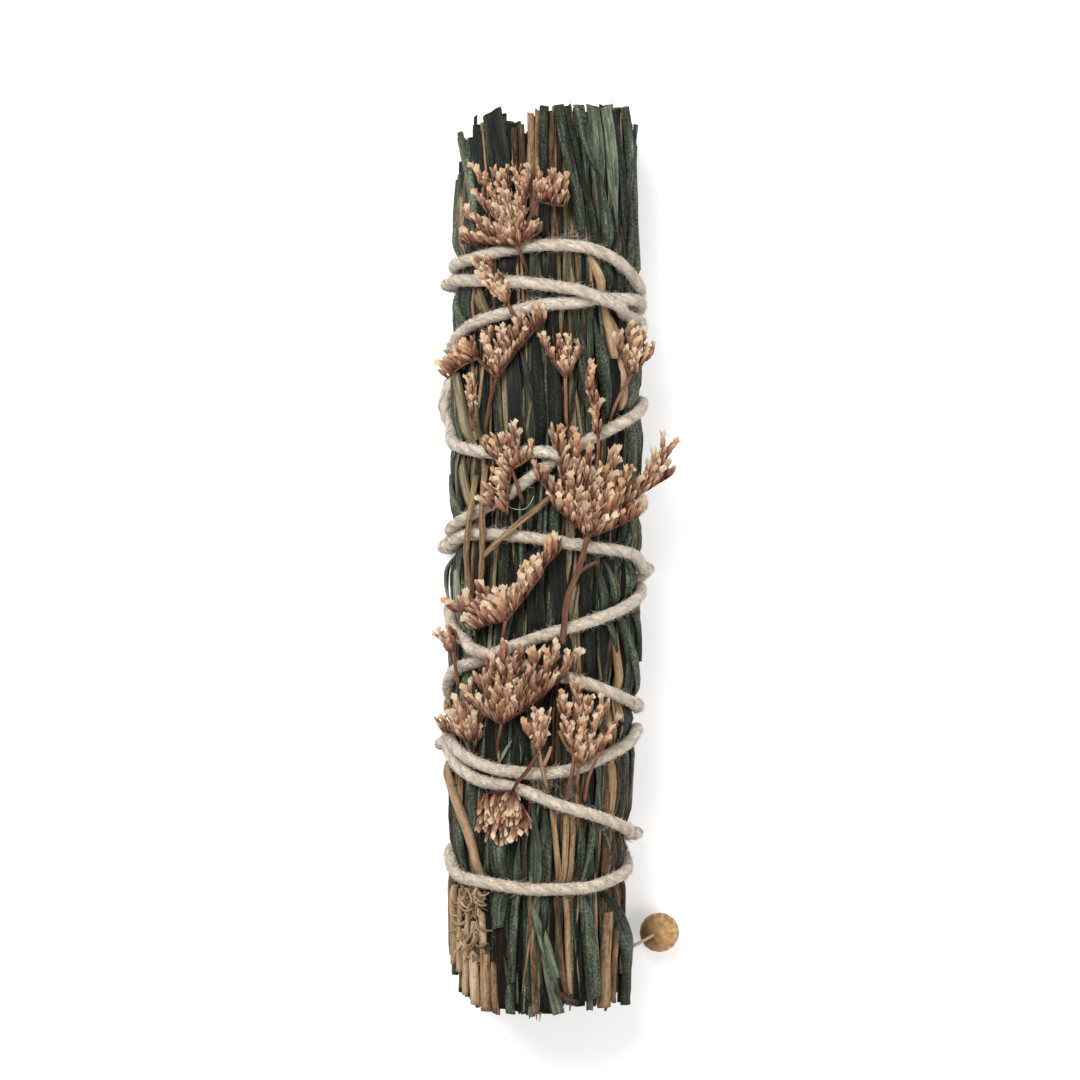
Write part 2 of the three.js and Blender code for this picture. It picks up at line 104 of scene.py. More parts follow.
def section(angle, y, lift=0, share=1):
    """A point of the bundle. Angle 0 is the right side, a quarter turn is the crest."""
    size = girth(y) * share
    c, s = math.cos(angle), math.sin(angle)
    power = CREST_POWER if s > 0 else UNDERSIDE_POWER
    reach = HALF_HEIGHT * size if s > 0 else HALF_DEPTH * size * BELLY_FILL
    across = abs(c) / max(HALF_WIDTH * size + lift, CORE)
    high = abs(s) / max(reach + lift, CORE)
    radius = (across**power + high**power) ** (-1 / power)
    level = max(radius * s, -(HALF_DEPTH * size + lift))
    return Vector((centre_x(y) + radius * c, y, centre_z(y) + level))


def on_crest(x, y, lift):
    """The point straight above (x, y) at a height over the leaves, going on downwards past the shoulder."""
    reach = HALF_WIDTH * girth(y) + lift
    rise = HALF_HEIGHT * girth(y) + lift
    out = abs(x - centre_x(y)) / reach
    held = min(out, SHOULDER)
    droop = (out - held) * reach * SHOULDER_SLOPE
    return Vector((x, y, centre_z(y) + rise * math.sqrt(1 - held * held) - droop))


def angle_at(x, y):
    """The angle of the point over (x, y)."""
    return math.acos(min(max((x - centre_x(y)) / (HALF_WIDTH * girth(y)), -1), 1))


print("bundle at the middle:", section(math.pi / 2, 0), section(0, 0))

# %% [markdown]
# The twine is wound down the bundle and back up over its own turns, so its route is a list of given places:
# how many degrees it has turned, and how far along the bundle it is. A curve object could carry it, but the
# leaves need to know where the twine presses on them, so the route is a function here too.

# %% The twine's route
# Each place is (degrees turned, mm along the bundle). At 0 the twine is at the left side, at 90 on the crest.
ROUTE = [
    (-130, 56.8), (-100, 55.6), (-60, 54.6), (-40, 55), (-15, 55.6),
    (0, 55.8), (50, 55.4), (80, 54.8), (105, 53.6), (125, 51.2), (150, 48.4), (180, 47),
    (225, 43.6), (270, 43), (300, 42), (315, 40), (345, 26.4),
    (360, 24.4), (395, 22), (420, 21.2), (450, 21.4), (465, 18.8), (495, 15.2), (540, 11.4),
    (585, 10), (630, 9.6), (662, 8.6), (697, 2.4),
    (720, 2.4), (740, 4), (760, 5.2), (785, 5), (810, 4), (840, 2.6), (870, 1.4), (900, -1.2),
    (928, -2), (955, -8), (990, -8.4), (1035, -8.8),
    (1080, -10.2), (1100, -14), (1125, -17.2), (1140, -18.8), (1170, -22.2), (1190, -23.6), (1215, -26.2),
    (1240, -28.4), (1260, -29.4),
    (1305, -28.4), (1350, -28), (1380, -28.4), (1390, -29.5), (1410, -37),
    (1440, -37.2), (1470, -41.4), (1490, -43.8), (1515, -45.2), (1540, -48.2), (1565, -50.4), (1590, -52.6),
    (1620, -54.4), (1640, -54.8), (1680, -56.4), (1710, -57), (1755, -57.6),
    (1800, -59.2), (1825, -62.8), (1850, -63.8), (1890, -65.2), (1920, -65), (1945, -63.6), (1965, -62.4),
    (1980, -61.4), (2000, -60.4), (2040, -48), (2070, -46.4), (2095, -45.6), (2110, -43), (2130, -34.4),
    (2160, -34.2), (2185, -37.6), (2205, -40), (2225, -41.6), (2250, -42.2), (2270, -41.4), (2295, -38.6),
    (2320, -36), (2340, -33.8),
    (2385, -34.8), (2430, -35.2), (2455, -35.2), (2470, -34.4), (2490, -28.2),
    (2520, -25), (2545, -21.6), (2565, -20), (2580, -18.2), (2610, -14.8), (2640, -12), (2670, -9),
    (2700, -6.2), (2728, -5.4), (2755, 0), (2790, 0), (2822, 0), (2856, 6),
    (2880, 5.8), (2905, 7.6), (2925, 9.8), (2945, 13), (2970, 18.6), (2990, 22.6), (3015, 26.4), (3040, 29.2),
    (3060, 31.2), (3105, 32), (3150, 32.8), (3180, 33.2), (3195, 35), (3225, 41.2),
    (3240, 42), (3260, 44.4), (3280, 47), (3305, 49), (3330, 50.6), (3350, 51), (3365, 51.8), (3390, 51.8),
    (3420, 51.4), (3465, 48.8), (3510, 48.4), (3535, 48.8), (3548, 50.4), (3568, 58.2), (3585, 58.6),
    (3600, 58.8), (3620, 59.2), (3640, 60), (3665, 61.6), (3690, 62.4), (3710, 62.2), (3730, 60.6),
    (3750, 57.6), (3765, 55.2), (3785, 53.6), (3830, 53.6),
]
# Where the twine passes over an older turn, as degrees turned
CROSSINGS = [
    (-51, -29), (109, 131), (309, 331), (449, 471), (669, 691), (929, 951), (1129, 1151), (1389, 1411),
    (1649, 1671),
]
LIFT_RAMP = 15  # degrees over which a turn climbs onto the one that it crosses
CROSSING_LIFT = 2 * TWINE_RADIUS + 0.25


def route_slope(k):
    """How steeply the route passes its place k: level at a turning point, else between its two spans."""
    if k <= 0 or k >= len(ROUTE) - 1:
        return 0
    before = (ROUTE[k][1] - ROUTE[k - 1][1]) / (ROUTE[k][0] - ROUTE[k - 1][0])
    after = (ROUTE[k + 1][1] - ROUTE[k][1]) / (ROUTE[k + 1][0] - ROUTE[k][0])
    return 0 if before * after <= 0 else 2 * before * after / (before + after)


def route_y(turned):
    """A smooth line through the route's points, which never overshoots them."""
    i = 0
    while i < len(ROUTE) - 2 and ROUTE[i + 1][0] < turned:
        i += 1
    span = ROUTE[i + 1][0] - ROUTE[i][0]
    t = min(max((turned - ROUTE[i][0]) / span, 0), 1)
    start, end = ROUTE[i][1], ROUTE[i + 1][1]
    leave, arrive = route_slope(i) * span, route_slope(i + 1) * span
    t2, t3 = t * t, t * t * t
    from_start = start * (2 * t3 - 3 * t2 + 1) + leave * (t3 - 2 * t2 + t)
    return from_start + end * (3 * t2 - 2 * t3) + arrive * (t3 - t2)


def route_lift(turned):
    """How far the twine is lifted by an older turn under it."""
    rise = 0
    for start, end in CROSSINGS:
        up = smooth(turned, start - LIFT_RAMP, start)
        down = 1 - smooth(turned, end, end + LIFT_RAMP)
        rise = max(rise, min(up, down))
    return CROSSING_LIFT * rise


SIDE_PRESS = 1.3  # mm, how far the tight turns sink in at the bundle's sides
SIDE_POWER = 5  # how fast that ends away from the sides


def sunk(angle):
    return SIDE_PRESS * abs(math.cos(angle)) ** SIDE_POWER


def twine_point(turned):
    angle = math.pi - math.radians(turned)
    height = TWINE_CLEARANCE + TWINE_RADIUS + route_lift(turned) - sunk(angle)
    point = section(angle, route_y(turned), height)
    point.z = max(point.z, TWINE_RADIUS)
    return point


PRESS_WIDTH = 2.6  # mm along a leaf over which a turn of twine holds it down
first_turn, last_turn = ROUTE[0][0], ROUTE[-1][0]
# For every degree round the bundle, the places where a turn of twine crosses it
turns_at = [[] for _ in range(360)]
for turned in range(first_turn, last_turn):
    turns_at[(180 - turned) % 360].append(route_y(turned))


def pressed(angle, y):
    """How much the twine presses here, from 0 between the turns to 1 under one."""
    turns = turns_at[int(math.degrees(angle)) % 360]
    return max(math.exp(-(((y - turn) / PRESS_WIDTH) ** 2)) for turn in turns)


print("turns over the crest:", len(turns_at[90]))

# %% [markdown]
# Leaves, stalks, yarns, florets and fibres are all closed tubes that differ in their section. Each could be
# swept as a curve with a bevel, but a curve has one section for its whole length and no attributes. Here
# one grid holds all the tubes of a piece, one after another. Its rows are moved to their places, the faces
# that link two tubes are deleted, the seams are merged and the open ends are filled. Three attributes
# travel with the surface: grain (mm across, mm along, a different number for each tube), tone (light or
# dark) and reach (0 at the root or middle, 1 at the tip or edge). The materials read them.

# %% The tube maker
MERGE = 1e-7  # metres, closer points become one


def new_object(name, data):
    made = bpy.data.objects.new(name, data)
    bpy.context.collection.objects.link(made)
    return made


def mesh_object(name, bm, materials):
    """The finished bmesh as a new object with its materials."""
    mesh = bpy.data.meshes.new(name)
    bm.to_mesh(mesh)
    bm.free()
    for material in materials:
        mesh.materials.append(material)
    return new_object(name, mesh)


class Tube:
    """One closed tube: rows of points, one row for each step along it."""

    def __init__(self, rows, material=0, tone=0.5, seed=0, creased=False):
        # Each row is (points round the tube, grain x of each, distance along, reach of each)
        self.rows = rows
        self.material = material
        self.tone = tone
        self.seed = seed
        self.creased = creased


def tubes_mesh(name, tubes, around, materials):
    """A new object of all the tubes, with its rows closed round and its ends filled."""
    bm = bmesh.new()
    total = sum(len(tube.rows) for tube in tubes)
    grain = bm.verts.layers.float_vector.new("grain")
    tone = bm.verts.layers.float.new("tone")
    reach = bm.verts.layers.float.new("reach")
    bmesh.ops.create_grid(bm, x_segments=around, y_segments=total - 1, size=1)
    bm.verts.ensure_lookup_table()
    starts = {}
    row_at = 0
    for tube in tubes:
        starts[row_at] = tube
        for points, across, along, spots in tube.rows:
            for k in range(around + 1):
                vert = bm.verts[row_at * (around + 1) + k]
                vert.co = points[k % around] * MM
                vert.co.z = max(vert.co.z, 0)
                vert[grain] = (across[k % around], along, tube.seed)
                vert[tone] = tube.tone
                vert[reach] = spots[k % around]
            row_at += 1
    bm.faces.ensure_lookup_table()
    links = []
    current = None
    for row in range(total - 1):
        current = starts.get(row, current)
        faces = [bm.faces[row * around + k] for k in range(around)]
        if row + 1 in starts:
            links.extend(faces)
        else:
            for face in faces:
                face.material_index = current.material
                face.smooth = not current.creased
    bmesh.ops.delete(bm, geom=links, context="FACES")
    bmesh.ops.remove_doubles(bm, verts=bm.verts, dist=MERGE)
    caps = bmesh.ops.edgeloop_fill(bm, edges=[e for e in bm.edges if e.is_boundary])["faces"]
    for cap in caps:
        wall = next(face for face in cap.edges[0].link_faces if face != cap)
        cap.material_index = wall.material_index
    bmesh.ops.recalc_face_normals(bm, faces=bm.faces)
    return mesh_object(name, bm, materials)


def dress(piece, slot, *nodes):
    """The piece rides on the one body and stands for CAD nodes; its slot is not used."""
    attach(piece, "root")
    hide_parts(*nodes)


def through(points, step):
    """Places about a step apart on a smooth line through the points."""
    ends = [2 * points[0] - points[1], *points, 2 * points[-1] - points[-2]]
    line = []
    for before, start, end, after in zip(ends, ends[1:], ends[2:], ends[3:]):
        count = max(1, round((end - start).length / step))
        for k in range(count):
            t = k / count
            square = (2 * before - 5 * start + 4 * end - after) * t * t
            cube = (3 * start - before - 3 * end + after) * t**3
            line.append(0.5 * (2 * start + (end - before) * t + square + cube))
    line.append(points[-1].copy())
    return line


def heading_at(line, i):
    """The direction of a line of points at its point i."""
    return (line[min(i + 1, len(line) - 1)] - line[max(i - 1, 0)]).normalized()


def turned_frame(ahead, out):
    """Two directions square to ahead and to each other, the second one as near to out as it can be."""
    side = ahead.cross(out).normalized()
    return side, side.cross(ahead)


def wobble(amount, rate, along, seed, row=0):
    """A smooth random change along a tube, of up to an amount, about so many times in a mm."""
    return amount * noise.noise((along * rate, seed, row))


def rod(places, radius, sides, tone, seed, end=0.7, ridge=0, step=1.2):
    """A thin stem through places in space, ridged if wanted, that grows thinner to its end."""
    line = through(places, step)
    rows = []
    along = 0
    out = Vector((0.1, 0.2, 1))
    for i, point in enumerate(line):
        ahead = heading_at(line, i)
        side, out = turned_frame(ahead, out)
        along += (point - line[i - 1]).length if i else 0
        thick = radius * mix(1, end, i / (len(line) - 1)) * (1 + wobble(0.16, 0.35, along, seed))
        points = []
        for k in range(sides):
            a = k * FULL_TURN / sides
            reach = thick * (1 - ridge * (k % 2))
            points.append(point + reach * (math.cos(a) * side + math.sin(a) * out))
        across = [k * FULL_TURN * radius / sides for k in range(sides)]
        rows.append((points, across, along, [0.6 * (k % 2) for k in range(sides)]))
    return Tube(rows, tone=tone, seed=seed)


print("tube maker ready")

# %% [markdown]
# The view is straight down on the bundle as it lies on a white table, its top end up. A long lens keeps the
# bundle's sides hidden, as they are from a normal distance. The light is soft: one large lamp up on the
# left gives the leaves their form, a weaker one fills the other side, and a white sky keeps the table pale.

# %% Camera, table and light
LENS = 250
SENSOR = 36
CAMERA_HEIGHT = 1.518  # metres
MIDDLE = Vector((0, 0.004, 0))
SKY_STRENGTH = 0.42
TABLE_HALF = 0.9  # metres

camera_data = bpy.data.cameras.new("camera")
camera_data.lens = LENS
camera_data.sensor_width = SENSOR
camera = new_object("camera", camera_data)
camera.location = MIDDLE + Vector((0, 0, CAMERA_HEIGHT))
bpy.context.scene.camera = camera


def lamp(name, place, size, watts):
    """A square area lamp that faces the middle of the bundle."""
    data = bpy.data.lights.new(name, "AREA")
    data.shape = "SQUARE"
    data.size = size
    data.energy = watts
    new = new_object(name, data)
    new.location = place
    new.rotation_euler = (MIDDLE - Vector(place)).to_track_quat("-Z", "Y").to_euler()


lamp("main lamp", (-0.3, 0.46, 0.85), size=0.5, watts=8.6)
lamp("fill lamp", (0.6, -0.3, 0.7), size=0.6, watts=3.4)
world = bpy.data.worlds.new("white sky")
world.use_nodes = True
sky = world.node_tree.nodes["Background"]
sky.inputs["Color"].default_value = (1, 1, 1, 1)
sky.inputs["Strength"].default_value = SKY_STRENGTH
bpy.context.scene.world = world
bpy.context.scene.view_settings.view_transform = "Standard"

bm = bmesh.new()
bmesh.ops.create_grid(bm, x_segments=1, y_segments=1, size=TABLE_HALF)
table = mesh_object("table", bm, [])
print("camera sees", round(SENSOR / LENS * CAMERA_HEIGHT * 1000), "mm across")

# %% [markdown]
# Every finish here is a dry plant part or a cotton yarn, so every material is a Principled shader whose
# colour and bump come from the attributes that the tubes carry. Object coordinates would cut through the
# leaves at an angle. The grain attribute runs along each leaf, as its veins do. One helper adds a node,
# sets it and links it.

# %% Helpers for materials


def linear(hex_colour):
    """An sRGB hex colour as the linear colour that the shader works in."""
    channels = [int(hex_colour[i : i + 2], 16) / 255 for i in (1, 3, 5)]
    return [c / 12.92 if c <= 0.04045 else ((c + 0.055) / 1.055) ** 2.4 for c in channels] + [1]


def add(tree, kind, settings, take=0, **inputs):
    """A new node's output, the first one or the one named by take, after its settings and inputs are set.

    An input goes by its name, or by _ and its number where names repeat. It is a value or a node's output.
    """
    new = tree.nodes.new("ShaderNode" + kind)
    for key, value in settings.items():
        if key == "stops":
            points = new.color_ramp.elements
            while len(points) < len(value):
                points.new(0.5)
            for point, (place, colour) in zip(points, value):
                point.position = place
                point.color = linear(colour)
        else:
            setattr(new, key, value)
    for key, value in inputs.items():
        socket = new.inputs[int(key[1:])] if key[1:].isdigit() else new.inputs[key.replace("_", " ")]
        if isinstance(value, bpy.types.NodeSocket):
            tree.links.new(value, socket)
        else:
            socket.default_value = value
    return new.outputs[take]


def new_material(name, roughness, specular):
    """A material with its node tree and its shader."""
    material = bpy.data.materials.new(name)
    material.use_nodes = True
    tree = material.node_tree
    shader = tree.nodes["Principled BSDF"]
    shader.inputs["Roughness"].default_value = roughness
    shader.inputs["Specular IOR Level"].default_value = specular
    return material, tree, shader


def set_surface(tree, shader, colour, height, relief, strength=1.0):
    """The shader takes its colour, and a bump whose depth is in mm."""
    tree.links.new(colour, shader.inputs["Base Color"])
    bump = add(tree, "Bump", {}, Strength=strength, Distance=relief * MM, Height=height)
    tree.links.new(bump, shader.inputs["Normal"])


# Settings that many of the nodes share
TIMES = {"operation": "MULTIPLY"}
TIMES_PLUS = {"operation": "MULTIPLY_ADD"}
MINUS = {"operation": "SUBTRACT"}
COLOURS = {"data_type": "RGBA"}
print("material helpers ready")

# %% [markdown]
# A dried evergreen leaf is a dull waxy surface over shrunken cells. Its upper side is dark green and
# pebbled, and its underside is pale olive with fine hairs. A dry stalk is tan and ridged lengthwise. These
# are one kind of surface with different colours and grain, so one function makes them all: its tone picks
# the colour, streaks run along the grain, blotches lie over them, and cells and streaks give the bump.

# %% The plant materials


def plant_material(name, tones, edge, edge_share, streak, cell, glint, relief, roughness, specular):
    """Tones are (place, colour) from dark to light. Streak and cell are sizes across the grain in mm."""
    material, tree, shader = new_material(name, roughness, specular)
    grain = add(tree, "Attribute", {"attribute_name": "grain"}, take="Vector")
    tone = add(tree, "Attribute", {"attribute_name": "tone"}, take="Fac")
    reach = add(tree, "Attribute", {"attribute_name": "reach"}, take="Fac")
    along = add(tree, "VectorMath", TIMES, _0=grain, _1=(1 / streak, 0.06 / streak, 1))
    streaks = add(tree, "TexNoise", {}, Vector=along, Scale=1, Detail=4, Roughness=0.6)
    patch = add(tree, "VectorMath", TIMES, _0=grain, _1=(0.5, 0.14, 1.7))
    blotches = add(tree, "TexNoise", {}, Vector=patch, Scale=1, Detail=5, Roughness=0.65)
    pebble = add(tree, "VectorMath", TIMES, _0=grain, _1=(1 / cell, 0.7 / cell, 3))
    cells = add(tree, "TexNoise", {}, Vector=pebble, Scale=1, Detail=2, Roughness=0.7)
    lighter = add(tree, "Math", TIMES_PLUS, _0=streaks, _1=1.1, _2=tone)
    varied = add(tree, "Math", TIMES_PLUS, _0=blotches, _1=0.8, _2=lighter)
    # Each pebble lightens the colour by the glint amount: partly the plant's own pale speckle, partly a
    # painted highlight on the pebbles
    speckled = add(tree, "Math", TIMES_PLUS, _0=cells, _1=glint, _2=varied)
    level = add(tree, "Math", MINUS, _0=speckled, _1=0.95 + glint / 2)
    colour = add(tree, "ValToRGB", {"stops": tones}, Fac=level)
    rim = add(
        tree, "MapRange", {"interpolation_type": "SMOOTHSTEP"},
        Value=reach, From_Min=0.6, From_Max=1.0, To_Max=edge_share,
    )
    mixed = add(tree, "Mix", COLOURS, take="Result", _0=rim, _6=colour, _7=linear(edge))
    height = add(tree, "Math", TIMES_PLUS, _0=cells, _1=glint, _2=streaks)
    set_surface(tree, shader, mixed, height, relief)
    return material


# The waxy upper side of a rolled leaf: dark green, with pale glints on its pebbles
needle_green = plant_material(
    "dried rolled leaf",
    [(0, "#090a07"), (0.22, "#23271c"), (0.48, "#485040"), (0.72, "#757d66"), (1, "#b4baa4")],
    "#404a37", 0.3, 0.6, 0.32, 1.1, 0.34, 0.5, 0.26,
)
# A flat leaf shows its veins and is a little greyer
blade_green = plant_material(
    "dried flat leaf",
    [(0, "#0c0c0a"), (0.22, "#252820"), (0.48, "#495140"), (0.72, "#778069"), (1, "#acb19a")],
    "#505a45", 0.3, 0.4, 0.4, 0.4, 0.26, 0.55, 0.22,
)
# The hairy underside is pale olive, and its rolled margins are green
underside_olive = plant_material(
    "dried leaf underside",
    [(0, "#362f22"), (0.25, "#6a5d43"), (0.5, "#938266"), (0.75, "#b1a389"), (1, "#cabfa5")],
    "#3a4231", 0.85, 0.45, 0.45, 0.5, 0.3, 0.8, 0.12,
)
# A woody stalk is tan with brown ridges
woody_tan = plant_material(
    "dried woody stalk",
    [(0, "#35261b"), (0.25, "#69513b"), (0.5, "#9b7f60"), (0.75, "#b89a78"), (1, "#d4bc9b")],
    "#725840", 0.35, 0.34, 0.5, 0.5, 0.34, 0.85, 0.1,
)
# Thin bark on young stems is brown and dull
bark_brown = plant_material(
    "thin brown bark",
    [(0, "#15100c"), (0.3, "#35281f"), (0.55, "#5c4535"), (0.8, "#80664f"), (1, "#a88c72")],
    "#4a372b", 0.3, 0.34, 0.5, 0.5, 0.3, 0.8, 0.12,
)
# The flower stems are thinner still, smooth and red-brown
flower_stem = plant_material(
    "dried flower stem",
    [(0, "#351f17"), (0.3, "#5f3d2e"), (0.55, "#805943"), (0.8, "#a07d5f"), (1, "#b99a75")],
    "#6a4838", 0.3, 0.3, 0.5, 0.3, 0.2, 0.7, 0.2,
)
LEAF_MATERIALS = [needle_green, blade_green, underside_olive, woody_tan, bark_brown]
print("plant materials:", [material.name for material in LEAF_MATERIALS])

# %% [markdown]
# A leaf is one tube with a leaf's section: six spans over its upper side and six under it. A rolled leaf
# bulges on both sides of its midrib, an underside has raised margins, and a stalk is round with ridges. The
# tube follows the bundle's form at a height of its own, and sinks where a turn of twine presses on it.

# %% Leaf sections and the path of one leaf
ACROSS = [1, 0.86, 0.5, 0, -0.5, -0.86, -1, -0.86, -0.4, 0, 0.4, 0.86]
SECTIONS = {
    "needle": [0, 0.6, 0.98, 0.72, 0.98, 0.6, 0, -0.35, -0.3, -0.3, -0.3, -0.35],
    "blade": [0, 0.3, 0.5, 0.1, 0.5, 0.3, 0, -0.16, -0.1, -0.3, -0.1, -0.16],
    "under": [0.1, 0.62, 0.2, 0.42, 0.2, 0.62, 0.1, -0.2, -0.2, -0.2, -0.2, -0.2],
    "stalk": [0, 0.62, 0.8, 1, 0.78, 0.66, 0, -0.5, -0.8, -0.8, -0.8, -0.5],
    "bark": [0, 0.6, 0.86, 0.96, 0.9, 0.58, 0, -0.5, -0.8, -0.8, -0.8, -0.5],
}
THICKNESS = {"needle": 0.42, "blade": 0.2, "under": 0.26, "stalk": 0.48, "bark": 0.5}  # share of the width
KINDS = list(SECTIONS)
UNDER_TWINE = 0.42  # mm, the height that nothing may pass beneath a turn
LEAF_STEP = 2.2
POINT_WIDTH, POINT_LENGTH = 0.12, 4  # share of the width left at a pointed end, and its length in widths
WORN_WIDTH = 0.7  # share of the width left at a worn end


def leaf_tube(rng, kind, width, tone, path, lift, share=1, step=LEAF_STEP, ends=("cut", "cut")):
    """A leaf on the bundle along a path of (angle, y), with its middle a height above the bundle's form."""
    round_the_bundle = HALF_WIDTH * share
    unrolled = [Vector((angle * round_the_bundle, y, 0)) for angle, y in path]
    line = through(unrolled, step)
    thick = width * THICKNESS[kind]
    seed = rng.uniform(0, 90)
    roll = rng.uniform(-0.22, 0.22)
    rows = []
    along = 0
    total = sum((b - a).length for a, b in zip(line, line[1:]))
    slant = rng.uniform(-0.5, 0.5) * min(width, 2)
    for i, point in enumerate(line):
        ahead = heading_at(line, i)
        beside = Vector((ahead.y, -ahead.x, 0))
        if i:
            along += (point - line[i - 1]).length
        broad = 1 + wobble(0.14, 0.09, along, seed)
        for end, near in zip(ends, (along, total - along)):
            if end == "point":
                broad *= mix(POINT_WIDTH, 1, smooth(near, -1, POINT_LENGTH * width))
            elif end == "worn":
                broad *= mix(WORN_WIDTH, 1, smooth(near, 0, width))
        held = pressed(point.x / round_the_bundle, point.y) if share == 1 else 0
        free = lift + wobble(0.3, 0.07, along, seed, 5)
        under = min(free, UNDER_TWINE - thick) - sunk(point.x / round_the_bundle)
        middle = mix(free, under, held)
        twist = roll + wobble(0.3, 0.05, along, seed, 9)
        points, grain_across, spots = [], [], []
        for k, (u, h) in enumerate(zip(ACROSS, SECTIONS[kind])):
            side = u * width / 2 * broad
            high = h * thick * mix(1, broad, 0.5) * (1 + wobble(0.18, 0.4, along, seed + k, 2))
            high += side * twist * (1 - 0.8 * held)
            skew = slant * u * (1 - smooth(min(along, total - along), 0, width)) * 0.6
            place = point + beside * side + ahead * skew
            points.append(section(place.x / round_the_bundle, place.y, middle + high, share))
            grain_across.append(u * width / 2 if k < 7 else width - u * width / 2)
            spots.append(abs(u))
        rows.append((points, grain_across, along, spots))
    return Tube(rows, KINDS.index(kind), tone, seed)


print("leaf kinds:", KINDS)

# %% [markdown]
# The leaves on top were looked at one by one. Each line here is one of them: its kind, its width in mm, its
# tone from dark to light, its height above the others, and the places in mm that it runs through on the
# crest.

